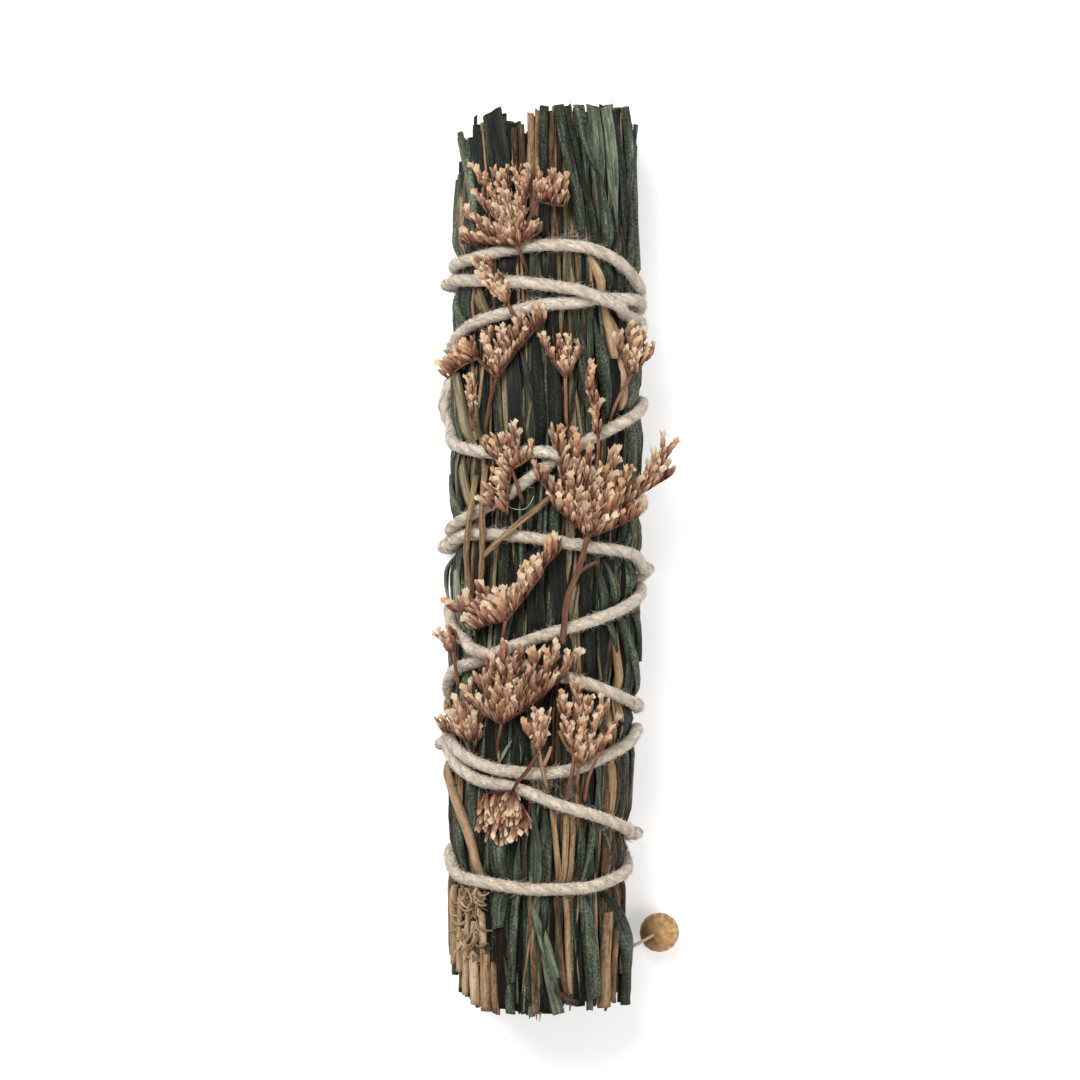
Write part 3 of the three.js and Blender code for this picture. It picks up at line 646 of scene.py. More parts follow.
# %% The leaves that show on the crest
SEEN = [
    # From the cut top down to the first turns of twine
    ("needle", 2.2, 0.6, 0.3, [(-15.4, 84.6), (-14.2, 77), (-13.2, 69), (-13, 58)]),
    ("blade", 1.2, 0.1, 0.2, [(-13.2, 88.4), (-13.6, 78), (-13, 68)]),
    ("blade", 5, 0.06, 0.5, [(-10, 89), (-8.2, 78.4), (-7, 66), (-7, 56)]),
    ("bark", 1.3, 0.4, 0.1, [(-5.6, 85.6), (-5, 70)]),
    ("bark", 1.4, 0.5, 0.3, [(-4.2, 86.4), (-3.6, 70)]),
    ("bark", 1.6, 0.85, 0.3, [(-2.2, 88.6), (-1.8, 68)]),
    ("stalk", 1.4, 0.4, 0.2, [(-0.6, 89.2), (-0.8, 68)]),
    ("needle", 2.2, 0.15, 0.4, [(0.8, 90), (0.6, 79), (1, 64), (1.2, 54)]),
    ("bark", 1.4, 0.6, 0.1, [(2.6, 88.8), (2.4, 79), (3, 62)]),
    ("bark", 1.3, 0.25, 0.2, [(4.4, 88), (4, 76), (4.4, 60)]),
    ("needle", 2.5, 0.35, 0.9, [(3.8, 90.2), (5, 83.2), (6.4, 77.4), (7.8, 70), (8.9, 64.2), (9.8, 60)]),
    ("needle", 1.5, 0.2, 0.5, [(5.4, 90), (7, 83.2), (8.8, 75.6), (10.8, 68.6), (11.6, 60)]),
    ("needle", 2.5, 0.42, 1, [(7.8, 90.2), (9.2, 82.6), (11.2, 77)]),
    ("needle", 3.3, 0.42, 0.9, [(11.8, 76.4), (12.8, 70), (13.8, 62.6), (14.2, 54)]),
    ("blade", 3.2, 0.5, 0.4, [(11, 90.2), (12, 77.4), (12.4, 66)]),
    ("blade", 3, 0.62, 0.5, [(13.6, 90.2), (14.6, 78), (15.6, 66)]),
    ("needle", 1.7, 0.15, 0.5, [(14.6, 89.4), (16.4, 75.8), (16.8, 64)]),
    ("needle", 2.2, 0.5, 0.3, [(16.6, 90.2), (17.4, 83), (17.6, 70)]),
    ("needle", 1.3, 0.3, 0.5, [(18.4, 87), (17.2, 76.2), (16.6, 68)]),
    ("needle", 1.9, 0.4, 0.2, [(17.8, 74.4), (18.1, 58.8), (18.4, 48)]),
    ("needle", 1.8, 0.5, 0.3, [(-17.4, 76), (-17, 60.4), (-16.8, 50)]),
    ("under", 4, 0.45, 0.2, [(-15.6, 73), (-15, 66), (-14.4, 58)]),
    ("stalk", 1.8, 0.7, 0.5, [(10.4, 60.6), (13.2, 53), (14, 48), (15, 40)]),
    # Between the crossed turns and the middle
    ("needle", 2.4, 0.5, 0.4, [(-16.6, 55), (-15.4, 46.2), (-15, 38)]),
    ("under", 2.6, 0.3, 0.4, [(-14, 56), (-11.8, 50), (-10.4, 40)]),
    ("under", 3.6, 0.5, 0.7, [(-16.4, 40), (-15.2, 31.4), (-14, 22)]),
    ("under", 2.2, 0.4, 0.6, [(-13.6, 37), (-12.8, 24)]),
    ("under", 2.9, 0.5, 0.5, [(-15.8, 21), (-14.4, 13.6), (-13.4, 5)]),
    ("needle", 2.1, 0.55, 0.4, [(-17.4, 17), (-16, 7), (-16, -4)]),
    ("blade", 2, 0.3, 0.6, [(-4.4, 42), (-2, 34), (0.6, 26)]),
    ("needle", 2.6, 0.02, 0.5, [(-1.4, 48), (-0.4, 33.4), (0.6, 18)]),
    ("needle", 2.8, 0.06, 0.6, [(1.6, 47), (3, 31), (2.8, 12)]),
    ("blade", 3, 0.04, 0.3, [(-6, 46), (-5.4, 30), (-6, 16)]),
    ("needle", 2.8, 0.36, 0.7, [(7, 49), (8.4, 41.4), (10, 34), (11.4, 22)]),
    ("needle", 2.3, 0.4, 0.6, [(11.2, 48), (13, 37.4), (14, 26)]),
    ("stalk", 1.6, 0.6, 0.4, [(14.2, 49), (16.2, 40), (16.8, 30)]),
    ("needle", 2.1, 0.45, 0.3, [(18, 42), (19, 30), (19.4, 18)]),
    ("under", 3, 0.35, 0.3, [(18, 12), (18.8, 1)]),
    ("needle", 2.4, 0.3, 0.5, [(15, 24), (16.4, 12), (16.8, 0)]),
    # The waist
    ("blade", 4.2, 0.72, 0.5, [(-16.4, -2), (-16, -9.2), (-14.8, -16)]),
    ("needle", 1.4, 0.6, 0.9, [(-18.6, 2.8), (-17.6, -3), (-16.8, -9)]),
    ("needle", 2.2, 0.45, 0.6, [(13.4, 0), (16, -10), (17.2, -20)]),
    ("needle", 2.1, 0.5, 0.5, [(15.2, -9), (18.4, -21), (19, -30)]),
    ("needle", 2, 0.4, 0.7, [(11, 1), (13.6, -9), (15.2, -18)]),
    ("needle", 1.9, 0.36, 0.6, [(17.6, 0), (18.8, -12), (19.2, -20)]),
    ("stalk", 1.7, 0.5, 0.3, [(15, -14), (16.2, -25), (16.4, -32)]),
    ("stalk", 2.7, 0.5, -0.3, [(14, -29), (14.8, -42), (14.6, -54), (14, -65)]),
    ("stalk", 1.8, 0.35, -0.4, [(17, -33), (16.8, -48), (16.2, -65)]),
    ("blade", 4.2, 0.02, 0.4, [(-2.4, 2), (-0.6, -14), (-1, -29)]),
    ("blade", 3.6, 0.06, 0.5, [(3, 2), (5, -16), (6, -34)]),
    ("needle", 2.4, 0.1, 0.4, [(7.6, 6), (10, -10), (10.6, -28)]),
    ("needle", 2.4, 0.14, 0.3, [(-7, 8), (-8, -8), (-9, -22)]),
    ("blade", 2.8, 0.6, 0.4, [(-15.6, -20), (-15.4, -30), (-15.6, -40)]),
    ("needle", 3.2, 0.1, 0.6, [(-6, -27), (-3.8, -35), (-1.4, -42)]),
    ("blade", 1.3, 0.75, 1, [(-5.8, -35.6), (-8.8, -40.4)]),
    ("needle", 1.7, 0.5, 0.6, [(-17.4, -37.6), (-15.8, -42.4)]),
    # The lower end
    ("stalk", 2.1, 0.6, 0.9, [(-17.8, -40.4), (-17.2, -44), (-14.8, -51.6), (-13, -57.8), (-12.6, -64)]),
    ("needle", 2.5, 0.45, 0.4, [(-16.6, -45), (-15.8, -54), (-15.2, -66)]),
    ("needle", 3.8, 0.45, 0.7, [(-9, -52), (-8.4, -63.2), (-8.6, -73)]),
    ("needle", 1.9, 0.4, 0.6, [(-4.4, -55), (-5.2, -68), (-6.2, -84)]),
    ("needle", 2.3, 0.3, 0.6, [(1, -47), (1.4, -62), (0.6, -76)]),
    ("blade", 3.2, 0.4, 0.4, [(-1.8, -47), (-0.8, -60), (-1.6, -78)]),
    ("needle", 1.7, 0.35, 0.6, [(9, -51), (8.2, -64)]),
    ("needle", 1.7, 0.45, 0.7, [(11.4, -50), (9.4, -62), (8.6, -74)]),
    ("needle", 1.3, 0.55, 0.9, [(12.8, -49), (13.6, -58.4)]),
    ("blade", 2.9, 0.5, 0.7, [(-2.8, -66), (0.4, -74), (3.4, -83)]),
    ("blade", 2.9, 0.55, 0.6, [(-0.4, -73), (2, -82), (4, -90)]),
    ("needle", 3.3, 0.46, 0.6, [(8.8, -64), (10, -75), (10.8, -87)]),
    ("needle", 3.2, 0.35, 0.7, [(12.2, -64), (15.2, -72.6), (16.6, -80), (17, -89)]),
    ("bark", 1.3, 0.5, 0.9, [(3.4, -65), (3.6, -70), (4.5, -80.6), (5.4, -86)]),
    ("stalk", 1.4, 0.5, 0.9, [(5, -63), (5.4, -67), (6.1, -86)]),
    ("stalk", 1.3, 0.45, 0.8, [(2.5, -48.6), (3.2, -55), (4.2, -65)]),
    ("stalk", 1.4, 0.5, 0.9, [(5.7, -48), (5.3, -56), (4.9, -65)]),
    ("stalk", 1.3, 0.35, 0.7, [(7.2, -48), (6.7, -56), (6.2, -65)]),
    ("stalk", 2.4, 0.45, 0.5, [(13.6, -70), (13, -80), (12.6, -89)]),
    ("stalk", 1.5, 0.3, 0.3, [(15.4, -64), (14.8, -78), (14.6, -88)]),
    ("stalk", 1.6, 0.3, 0.4, [(-17.8, -63), (-18, -79)]),
    ("stalk", 1.9, 0.75, 0.5, [(-16.8, -65), (-16.6, -80.6)]),
    ("stalk", 1.5, 0.6, 0.7, [(-15.2, -66), (-15.6, -76), (-15.4, -82)]),
    ("stalk", 1.7, 0.8, 0.4, [(-14, -68), (-14.6, -78), (-14.8, -86.6)]),
    ("bark", 1.1, 0.6, 0.7, [(-13.2, -66), (-13.6, -74), (-13, -80)]),
    ("stalk", 2, 0.8, 0.5, [(-12.6, -72), (-13.2, -80), (-13, -88.4)]),
    ("stalk", 1.5, 0.7, 0.8, [(-11.6, -70), (-11.4, -79)]),
    ("stalk", 2.1, 0.5, 0.6, [(-11.2, -76), (-11, -84), (-10.8, -89.6)]),
    ("stalk", 1.5, 0.35, 0.6, [(-9.4, -80), (-9, -90)]),
    ("bark", 1.2, 0.35, 0.9, [(3.2, -85), (5.2, -87), (7.6, -88)]),
    ("under", 1.9, 0.05, 1, [(-12.8, -73), (-13, -76), (-11.4, -77.6), (-10, -76.6)]),
    ("bark", 2.4, 0, 0.15, [(-8.6, -66), (-8.3, -76), (-7.6, -89)]),
    ("bark", 1.5, 0.25, 0.1, [(16, -62), (16.4, -76), (16.2, -88.4)]),
    ("stalk", 1.7, 0.25, 0, [(-2.2, -65.6), (-1.6, -76), (-0.8, -90)]),
    ("needle", 2.3, 0.4, 0.4, [(-7.8, -77), (-6.2, -90)]),
]
print("leaves placed by eye:", len(SEEN))

# %% [markdown]
# Under and beside the leaves that were looked at, the bundle is full of others like them, and it goes on
# round its back. They are set by a seeded random choice in lanes round the bundle, each lane with two or
# three leaves that overlap end to end. Deeper layers only show at the two cut ends, so they are whole
# leaves with few rows. The cut ends are not level, so two outlines give how far the leaves reach at each
# place across.

# %% All the leaves, piece by piece
CELLS = 24
WIDE_LEAF = 3.4  # mm, from here leaves are torn off, not pointed
CUT_FROM = 80  # mm from the middle: leaves that end beyond here were cut, others end in a tip
STALK_CELLS = [2, 5, 10, 13, 19]  # the cells whose solid is a stalk
LAST_SPAN = 14  # mm, a leaf that would end this near the cut end goes on to it
LEAST_SPAN = 8  # mm, no leaf starts this near the cut end
SEEN_RISE = 1.3  # the leaves that were looked at lie this many times their listed height
STRAIGHT_STEP = 12  # mm, enough rows for a leaf that is nearly straight
HIDDEN_STEP = 30  # mm, for a leaf whose two ends alone can be seen

# How far the bundle's cut ends reach, as (x, y) from the left side to the right
TOP_OUTLINE = [
    (-19.4, 73), (-18, 76), (-16.6, 79), (-15.4, 84), (-13, 88), (-10, 89), (-6.4, 87.6), (-5.6, 83),
    (-3, 84), (-2, 87.6), (0, 88.6), (4, 90), (12, 90.3), (17, 90.2), (18.6, 86), (19.6, 80),
]
BOTTOM_OUTLINE = [
    (-19.4, -79), (-17, -80.5), (-15.4, -87), (-12, -89), (-8, -87), (-5, -90), (2, -90.8), (6, -90),
    (10, -88), (14, -89.6), (17.4, -89), (19, -84),
]


def outline_y(outline, x):
    for (x0, y0), (x1, y1) in zip(outline, outline[1:]):
        if x < x1:
            return mix(y0, y1, min(max((x - x0) / (x1 - x0), 0), 1))
    return outline[-1][1]


def end_limits(rng, angle, share=1, ragged=2.5):
    """Where a leaf at this angle ends, at the bottom and at the top."""
    x = centre_x(0) + HALF_WIDTH * share * math.cos(angle)
    low = outline_y(BOTTOM_OUTLINE, x) + rng.uniform(0, ragged)
    return low, outline_y(TOP_OUTLINE, x) - rng.uniform(0, ragged)


def cell_of(angle):
    return int((angle % FULL_TURN) / FULL_TURN * CELLS)


def lane_of_leaves(rng, angle, kinds, lengths, widths, drift):
    """Leaves that follow each other along one lane, as (kind, width, path, ends)."""
    leaves = []
    low, top = end_limits(rng, angle)
    y = low - rng.uniform(0, 0.5) * lengths[0]
    while y < top - LEAST_SPAN:
        end = y + rng.uniform(*lengths)
        start = max(y, low)
        end = top if top - end < LAST_SPAN else end
        turn = rng.uniform(-drift, drift) * (end - start) / 60
        path = [(angle + turn * (t - 0.5), mix(start, end, t)) for t in (0, 0.35, 0.7, 1)]
        root_end = "cut" if start == low else "point"
        tip_end = "cut" if end == top else rng.choice(["point", "worn"])
        leaves.append((rng.choice(kinds), rng.uniform(*widths), path, (root_end, tip_end)))
        y = end - rng.uniform(2, 10)
    return leaves


def on_top(angle):
    return 0 < angle % FULL_TURN < math.pi


rng = random.Random(11)
leaves_in = [[] for _ in range(CELLS)]
# (lanes, kinds, lengths, widths, sideways drift, heights, tones), from the leaves beneath to fine loose
# fibres. The dark tones of the leaves beneath are painted shade in the gaps between the leaves over them.
LAYERS = [
    (60, ["needle", "blade", "blade", "needle"], (50, 120), (2.2, 3.6), 0.1, (-1.5, -0.8), (-0.2, 0.15)),
    (54, ["needle"] * 4 + ["blade"] * 3 + ["under"], (40, 90), (1.3, 2.7), 0.22, (-0.8, 0), (0.05, 0.6)),
    (60, ["needle", "under", "blade", "bark", "stalk"], (10, 45), (0.4, 0.9), 0.6, (-0.3, 0.25), (0.1, 0.6)),
]
for lanes, kinds, lengths, widths, drift, heights, tones in LAYERS:
    for lane in range(lanes):
        angle = (lane + rng.uniform(0, 1)) * FULL_TURN / lanes
        for kind, width, path, ends in lane_of_leaves(rng, angle, kinds, lengths, widths, drift):
            woody = cell_of(angle) in STALK_CELLS and rng.random() < (0.15 if on_top(angle) else 0.6)
            kind = rng.choice(["stalk", "bark"]) if woody else kind
            tone = rng.uniform(*tones) + (0 if on_top(angle) else 0.15)
            tube = leaf_tube(rng, kind, width, tone, path, rng.uniform(*heights), ends=ends)
            leaves_in[cell_of(angle)].append(tube)
print("leaves in the lanes:", sum(map(len, leaves_in)))

# The deeper layers that fill each cell: their share of the girth, and how many leaves go round
DEEPER_LAYERS = [(0.9, 48), (0.8, 36)]
for share, count in DEEPER_LAYERS:
    for lane in range(count):
        angle = (lane + rng.uniform(0.1, 0.9)) * FULL_TURN / count
        kind = rng.choice(["needle", "stalk", "bark", "blade", "bark"])
        low, top = end_limits(rng, angle, share, 5)
        path = [(angle, low), (angle + rng.uniform(-0.05, 0.05), top)]
        tube = leaf_tube(rng, kind, rng.uniform(1.8, 3), rng.uniform(0, 0.4), path, 0, share, STRAIGHT_STEP)
        leaves_in[cell_of(angle)].append(tube)

for kind, width, tone, lift, places in SEEN:
    path = [(angle_at(x, y), y) for x, y in places]
    middle = path[len(path) // 2][0]
    loose = "point" if kind in ("needle", "blade") and width < WIDE_LEAF else "worn"
    ends = ["cut" if abs(y) > CUT_FROM else loose for _, y in (path[0], path[-1])]
    tube = leaf_tube(rng, kind, width, tone, path, lift * SEEN_RISE, step=1, ends=ends)
    leaves_in[cell_of(middle)].append(tube)

# Splinters of the stalks inside stick out of the lower end, most of them near its middle
SPLINTERS = [-13, -9, -3.6, -3, -2.4, -1.8, -1.2, -0.6, 0, 0.6, 7.8, 11.4, 15]
for x in SPLINTERS:
    end = outline_y(BOTTOM_OUTLINE, x) - rng.uniform(0, 1.2)
    path = [(angle_at(x, -84), -84), (angle_at(x + rng.uniform(-0.6, 0.6), -88), max(end, -91.6))]
    width = rng.uniform(0.7, 1.4)
    ends = ("cut", "point")
    tube = leaf_tube(rng, "stalk", width, rng.uniform(0.5, 1), path, rng.uniform(-2, -1), ends=ends)
    leaves_in[cell_of(path[0][0])].append(tube)

# A stalk at the lower left is worn to fibres, which are short, curled and pale
WORN_FIBRES = 80
curls = []
for index in range(WORN_FIBRES):
    x = rng.uniform(-16, -12)
    y = rng.uniform(-64, -78)
    heading = rng.uniform(-2.6, -0.5)
    curl = rng.uniform(-0.8, 0.8)
    lift = rng.uniform(0.7, 1.8)
    places = []
    for bend in range(4):
        places.append(on_crest(x, y, lift))
        x += math.cos(heading)
        y += math.sin(heading)
        heading += curl
        lift += rng.uniform(-0.3, 0.3)
    curls.append(rod(places, rng.uniform(0.16, 0.4), 6, rng.uniform(0.3, 1), index, 0.5, step=0.6))
dress(tubes_mesh("worn_fibres", curls, 6, [woody_tan]), "stalk", "stalk_11")

for cell, tubes in enumerate(leaves_in):
    woody = cell in STALK_CELLS
    node = f"{'stalk' if woody else 'leaf_blades'}_{cell + 1:02d}"
    piece = tubes_mesh(f"leaves_{cell + 1:02d}", tubes, len(ACROSS), LEAF_MATERIALS)
    dress(piece, "stalk" if woody else "leaf", node)
print("leaves on the outside:", sum(map(len, leaves_in)))

# %% [markdown]
# The strands inside show only at the two cut ends, where they are the same leaves, cut straight through.
# One plain core with a cut face would do from far off. Single leaves leave the gaps that a real cut end
# has, and with few rows each they cost little.

# %% The inner leaves
# (strands, how many there are, and the shares of the girth at which their leaves lie)
STRANDS = [("inner_leaves", 12, (0.68, 0.56, 0.46)), ("core_leaves", 4, (0.34, 0.24, 0.14))]
inner_count = 0
for prefix, count, shares in STRANDS:
    for cell in range(count):
        tubes = []
        for layer, share in enumerate(shares):
            for beside in ((0.25, 0.75) if layer < 2 else (0.5,)):
                angle = (cell + beside + rng.uniform(-0.1, 0.1)) * FULL_TURN / count
                low, top = end_limits(rng, angle, share, 7)
                path = [(angle, low), (angle, top)]
                kind = rng.choice(["needle", "stalk", "bark", "stalk", "blade"])
                width = rng.uniform(2, 3.2)
                tubes.append(leaf_tube(rng, kind, width, rng.uniform(0.1, 0.6), path, 0, share, HIDDEN_STEP))
        inner_count += len(tubes)
        piece = tubes_mesh(f"{prefix}_{cell + 1:02d}_cut", tubes, len(ACROSS), LEAF_MATERIALS)
        dress(piece, "leaf", f"{prefix}_{cell + 1:02d}")
print("leaves inside:", inner_count)

# %% [markdown]
# The twine is soft three-ply cotton: three yarns twisted round each other, each of loose fibres that stand
# off it as fuzz. A bump map could only hint at the plies. Here each yarn is a tube that winds round the
# twine's own line, and the fuzz is thousands of hair-thin tubes that leave the yarn and bend back.

# %% The twine
YARN_RADIUS = 1.18
YARN_OFFSET = 0.07  # mm from the twine's middle to each yarn's
TWIST_PITCH = 13  # mm along the twine for one full twist
YARNS = 3
YARN_SIDES = 8
KNOT_SHARE = 0.8  # the yarns are pulled thinner in the knot
TWINE_STEP = 4  # degrees of turning from one row to the next


def twine_frame(turned):
    """The twine's middle, and the directions ahead, out and aside."""
    middle = twine_point(turned)
    ahead = (twine_point(turned + 2) - twine_point(turned - 2)).normalized()
    around = twine_point(turned + 1) - twine_point(turned - 1)
    out = Vector((-around.z, 0, around.x)).normalized()
    side, out = turned_frame(ahead, out)
    return middle, ahead, out, side


def twine_line(start, end, step):
    """The twine's line as (middle, ahead, out, side, distance along)."""
    line = []
    along = 0
    last = None
    count = round((end - start) / step)
    for i in range(count + 1):
        middle, ahead, out, side = twine_frame(mix(start, end, i / count))
        along += (middle - last).length if last else 0
        last = middle
        line.append((middle, ahead, out, side, along))
    return line


def yarn_tube(line, phase, radius, offset, seed):
    """One yarn of a twine that runs along the line."""
    rows = []
    for middle, ahead, out, side, along in line:
        turn = along / TWIST_PITCH * FULL_TURN + phase
        centre = middle + offset * (math.cos(turn) * out + math.sin(turn) * side)
        thick = radius * (1 + wobble(0.1, 0.5, along, seed))
        points = []
        for k in range(YARN_SIDES):
            a = k * FULL_TURN / YARN_SIDES + turn
            lump = 1 + wobble(0.18, 0.9, along, seed, k * 1.7)
            points.append(centre + thick * lump * (math.cos(a) * out + math.sin(a) * side))
        across = [k * FULL_TURN * radius / YARN_SIDES for k in range(YARN_SIDES)]
        rows.append((points, across, along, [0.5] * YARN_SIDES))
    return Tube(rows, seed=seed)


def spin(line, share, seed):
    """The yarns of a twine along a line, at a share of their full size."""
    return [
        yarn_tube(line, k * FULL_TURN / YARNS, YARN_RADIUS * share, YARN_OFFSET * share, seed + k)
        for k in range(YARNS)
    ]


HAIR_ROWS = 3
HAIR_TONE = 0.7


def hair_tube(root, direction, bend, length, thick, seed):
    """A hair of three sides that leaves its root and bends over."""
    rows = []
    side = direction.cross(bend).normalized()
    if side.length < 0.5:
        side = Vector((0, 0, 1)).cross(direction).normalized()
    for i in range(HAIR_ROWS):
        t = i / (HAIR_ROWS - 1)
        place = root + direction * length * t + bend * length * t * t
        up = side.cross(direction)
        wide = thick * (1 - 0.7 * t)
        points = [place + wide * (math.cos(a) * side + math.sin(a) * up) for a in (0, 2.1, 4.2)]
        rows.append((points, [0, 0.1, 0.2], length * t, [t] * 3))
    return Tube(rows, tone=HAIR_TONE, seed=seed)


# Unbleached cotton is warm off-white and matt, with a soft glow at grazing angles and dark specks of trash
cotton, tree, shader = new_material("unbleached cotton yarn", 0.95, 0.15)
shader.inputs["Sheen Weight"].default_value = 0.35
shader.inputs["Sheen Roughness"].default_value = 0.5
grain = add(tree, "Attribute", {"attribute_name": "grain"}, take="Vector")
fibre_scale = add(tree, "VectorMath", TIMES, _0=grain, _1=(3.2, 0.7, 3))
fibres = add(tree, "TexNoise", {}, Vector=fibre_scale, Scale=1, Detail=3)
patch_scale = add(tree, "VectorMath", TIMES, _0=grain, _1=(0.3, 0.12, 1))
patches = add(tree, "TexNoise", {}, Vector=patch_scale, Scale=1, Detail=3)
both = add(tree, "Math", TIMES_PLUS, _0=fibres, _1=0.6, _2=patches)
level = add(tree, "Math", MINUS, _0=both, _1=0.3)
cream = add(tree, "ValToRGB", {"stops": [(0.1, "#ae9c85"), (0.42, "#d5c5b0"), (0.7, "#eaddca")]}, Fac=level)
speck_scale = add(tree, "VectorMath", TIMES, _0=grain, _1=(1.6, 1, 5))
specks = add(tree, "TexNoise", {}, Vector=speck_scale, Scale=1, Detail=1)
dark = add(tree, "MapRange", {}, Value=specks, From_Min=0.69, From_Max=0.74, To_Max=0.75)
speckled = add(tree, "Mix", COLOURS, take="Result", _0=dark, _6=cream, _7=linear("#8a6f52"))
set_surface(tree, shader, speckled, fibres, 0.3)

twine_route = twine_line(first_turn, last_turn, TWINE_STEP)
yarns = spin(twine_route, 1, 3)

# The knot is an overhand knot: the two ends cross over and under each other, and two short tails stick out
knot_middle, knot_ahead, knot_out, knot_side = twine_frame(first_turn)


def knot_line(places):
    """A line round the knot through places (along, aside, out) in mm, with a direction at each point."""
    points = [
        knot_middle + knot_ahead * along + knot_side * aside + knot_out * out for along, aside, out in places
    ]
    line = []
    along = 0
    smooth_line = through(points, 0.5)
    for i, point in enumerate(smooth_line):
        ahead = heading_at(smooth_line, i)
        side, out = turned_frame(ahead, knot_out if abs(ahead.dot(knot_out)) < 0.9 else knot_side)
        along += (point - smooth_line[i - 1]).length if i else 0
        line.append((point, ahead, out, side, along))
    return line


KNOT_LOOPS = [
    [(2.2, 1.2, 0), (0.8, 1.4, 0.9), (-0.8, 0.6, 1.2), (-1.4, -0.9, 0.6), (-0.2, -1.8, 0.1), (1.2, -1, 0.9),
     (0.9, 0.8, 1.4), (-1, 1.6, 0.6), (-1.6, 3.4, -0.2), (-2.6, 5.4, -0.6), (-4, 7, -1.4)],
    [(-2.2, -1.4, 0), (-0.6, -1.6, 0.6), (0.9, -0.6, 0.8), (1.3, 1, 0.5), (0.2, 1.9, 0.2), (-1.2, 0.8, 0.4),
     (-0.8, -0.8, 1.3), (1, -1.8, 0.8), (1.9, -3.4, -0.2), (3, -5.4, -0.8)],
]
for index, places in enumerate(KNOT_LOOPS):
    yarns += spin(knot_line(places), KNOT_SHARE, 20 + 3 * index)
dress(tubes_mesh("twine_yarns", yarns, YARN_SIDES, [cotton]), "twine", "twine")

FUZZ_PARTS = 3
FUZZ = 13500  # hairs in each part
HAIR_RADIUS = 0.045
fuzz_rng = random.Random(5)
for part in range(FUZZ_PARTS):
    hairs = []
    for index in range(FUZZ):
        middle, ahead, out, side = twine_frame(fuzz_rng.uniform(first_turn, last_turn))
        around = fuzz_rng.uniform(0, FULL_TURN)
        away = math.cos(around) * out + math.sin(around) * side
        length = fuzz_rng.choice([0.5, 0.7, 1, 1.5])
        direction = (away * fuzz_rng.uniform(0.2, 1.1) + ahead * fuzz_rng.choice([-1, 1])).normalized()
        bend = ahead * fuzz_rng.uniform(-0.6, 0.6) - away * 0.4 + side * fuzz_rng.uniform(-0.6, 0.6)
        hairs.append(hair_tube(middle + away * 1.1, direction, bend, length, HAIR_RADIUS, index * 0.1))
    dress(tubes_mesh(f"twine_fuzz_{part + 1}", hairs, 3, [cotton]), "twine", "twine")

# Lint has caught between the leaves in a few places, and one long fibre lies in a curve at the waist
LINT = [(7, 64.2), (3, 62.6), (-12.4, -66.6), (1.6, -44.2)]
LINT_HAIRS = 60  # in each place
LINT_RADIUS = 0.03
lint = []
for x, y in LINT:
    for index in range(LINT_HAIRS):
        root = on_crest(x + fuzz_rng.gauss(0, 0.9), y + fuzz_rng.gauss(0, 0.7), fuzz_rng.uniform(0.4, 1.8))
        heading = fuzz_rng.uniform(0, FULL_TURN)
        direction = Vector((math.cos(heading), math.sin(heading), fuzz_rng.uniform(-0.3, 0.3)))
        bend = Vector((fuzz_rng.uniform(-1, 1), fuzz_rng.uniform(-1, 1), -0.3))
        lint.append(hair_tube(root, direction, bend, fuzz_rng.uniform(1, 2.6), LINT_RADIUS, index * 0.1))
LONG_FIBRE = [(-8, 12.8, 3), (-5.8, 10.4, 2.2), (-2.8, 10.2, 2), (-1.2, 12.6, 2.4)]
lint.append(rod([on_crest(*place) for place in LONG_FIBRE], 0.1, 3, 0.9, 1))
dress(tubes_mesh("twine_lint", lint, 3, [cotton]), "twine", "twine")
twine_length = round(twine_route[-1][-1])
print("twine rows:", len(twine_route), "hairs:", FUZZ_PARTS * FUZZ, "length in mm:", twine_length)

# %% [markdown]
# The sprigs are dried sea lavender: a thin stem forks into spikes, and each spike carries rows of small
# papery florets that point to its tip. A floret is a narrow calyx, brown at its foot and pale at its
# toothed rim; the darkest brown at its foot is also painted shade where the florets crowd together. Some
# are still closed. One floret mesh could be copied by a node group, but each is turned and bent in its own
# way, so each is a short tube of six sides whose last rows fold back in to make the cup.

# %% Stems and florets
BRACT = 0.74  # mm, half the width of the bract at its torn edge
# A floret's rows as (share of its length, radius in mm, colour from foot to rim). The bract ends at a step
# inwards.
OPEN_FLORET = [
    (0, 0.24, 0), (0.16, 0.5, 0.08), (0.4, 0.7, 0.24), (0.6, BRACT, 0.5), (0.62, 0.5, 0.42),
    (0.82, 0.6, 0.78), (1, 0.98, 1), (0.84, 0.4, 0.75),
]
CLOSED_FLORET = [
    (0, 0.24, 0), (0.18, 0.52, 0.08), (0.4, 0.7, 0.24), (0.58, BRACT, 0.42), (0.61, 0.52, 0.36),
    (0.8, 0.48, 0.6), (0.94, 0.3, 0.85), (1, 0.1, 0.8),
]
SCALE = [(0, 0.2, 0.05), (0.35, 0.46, 0.3), (0.75, 0.4, 0.6), (1, 0.08, 0.9)]
FLORET_SIDES = 6


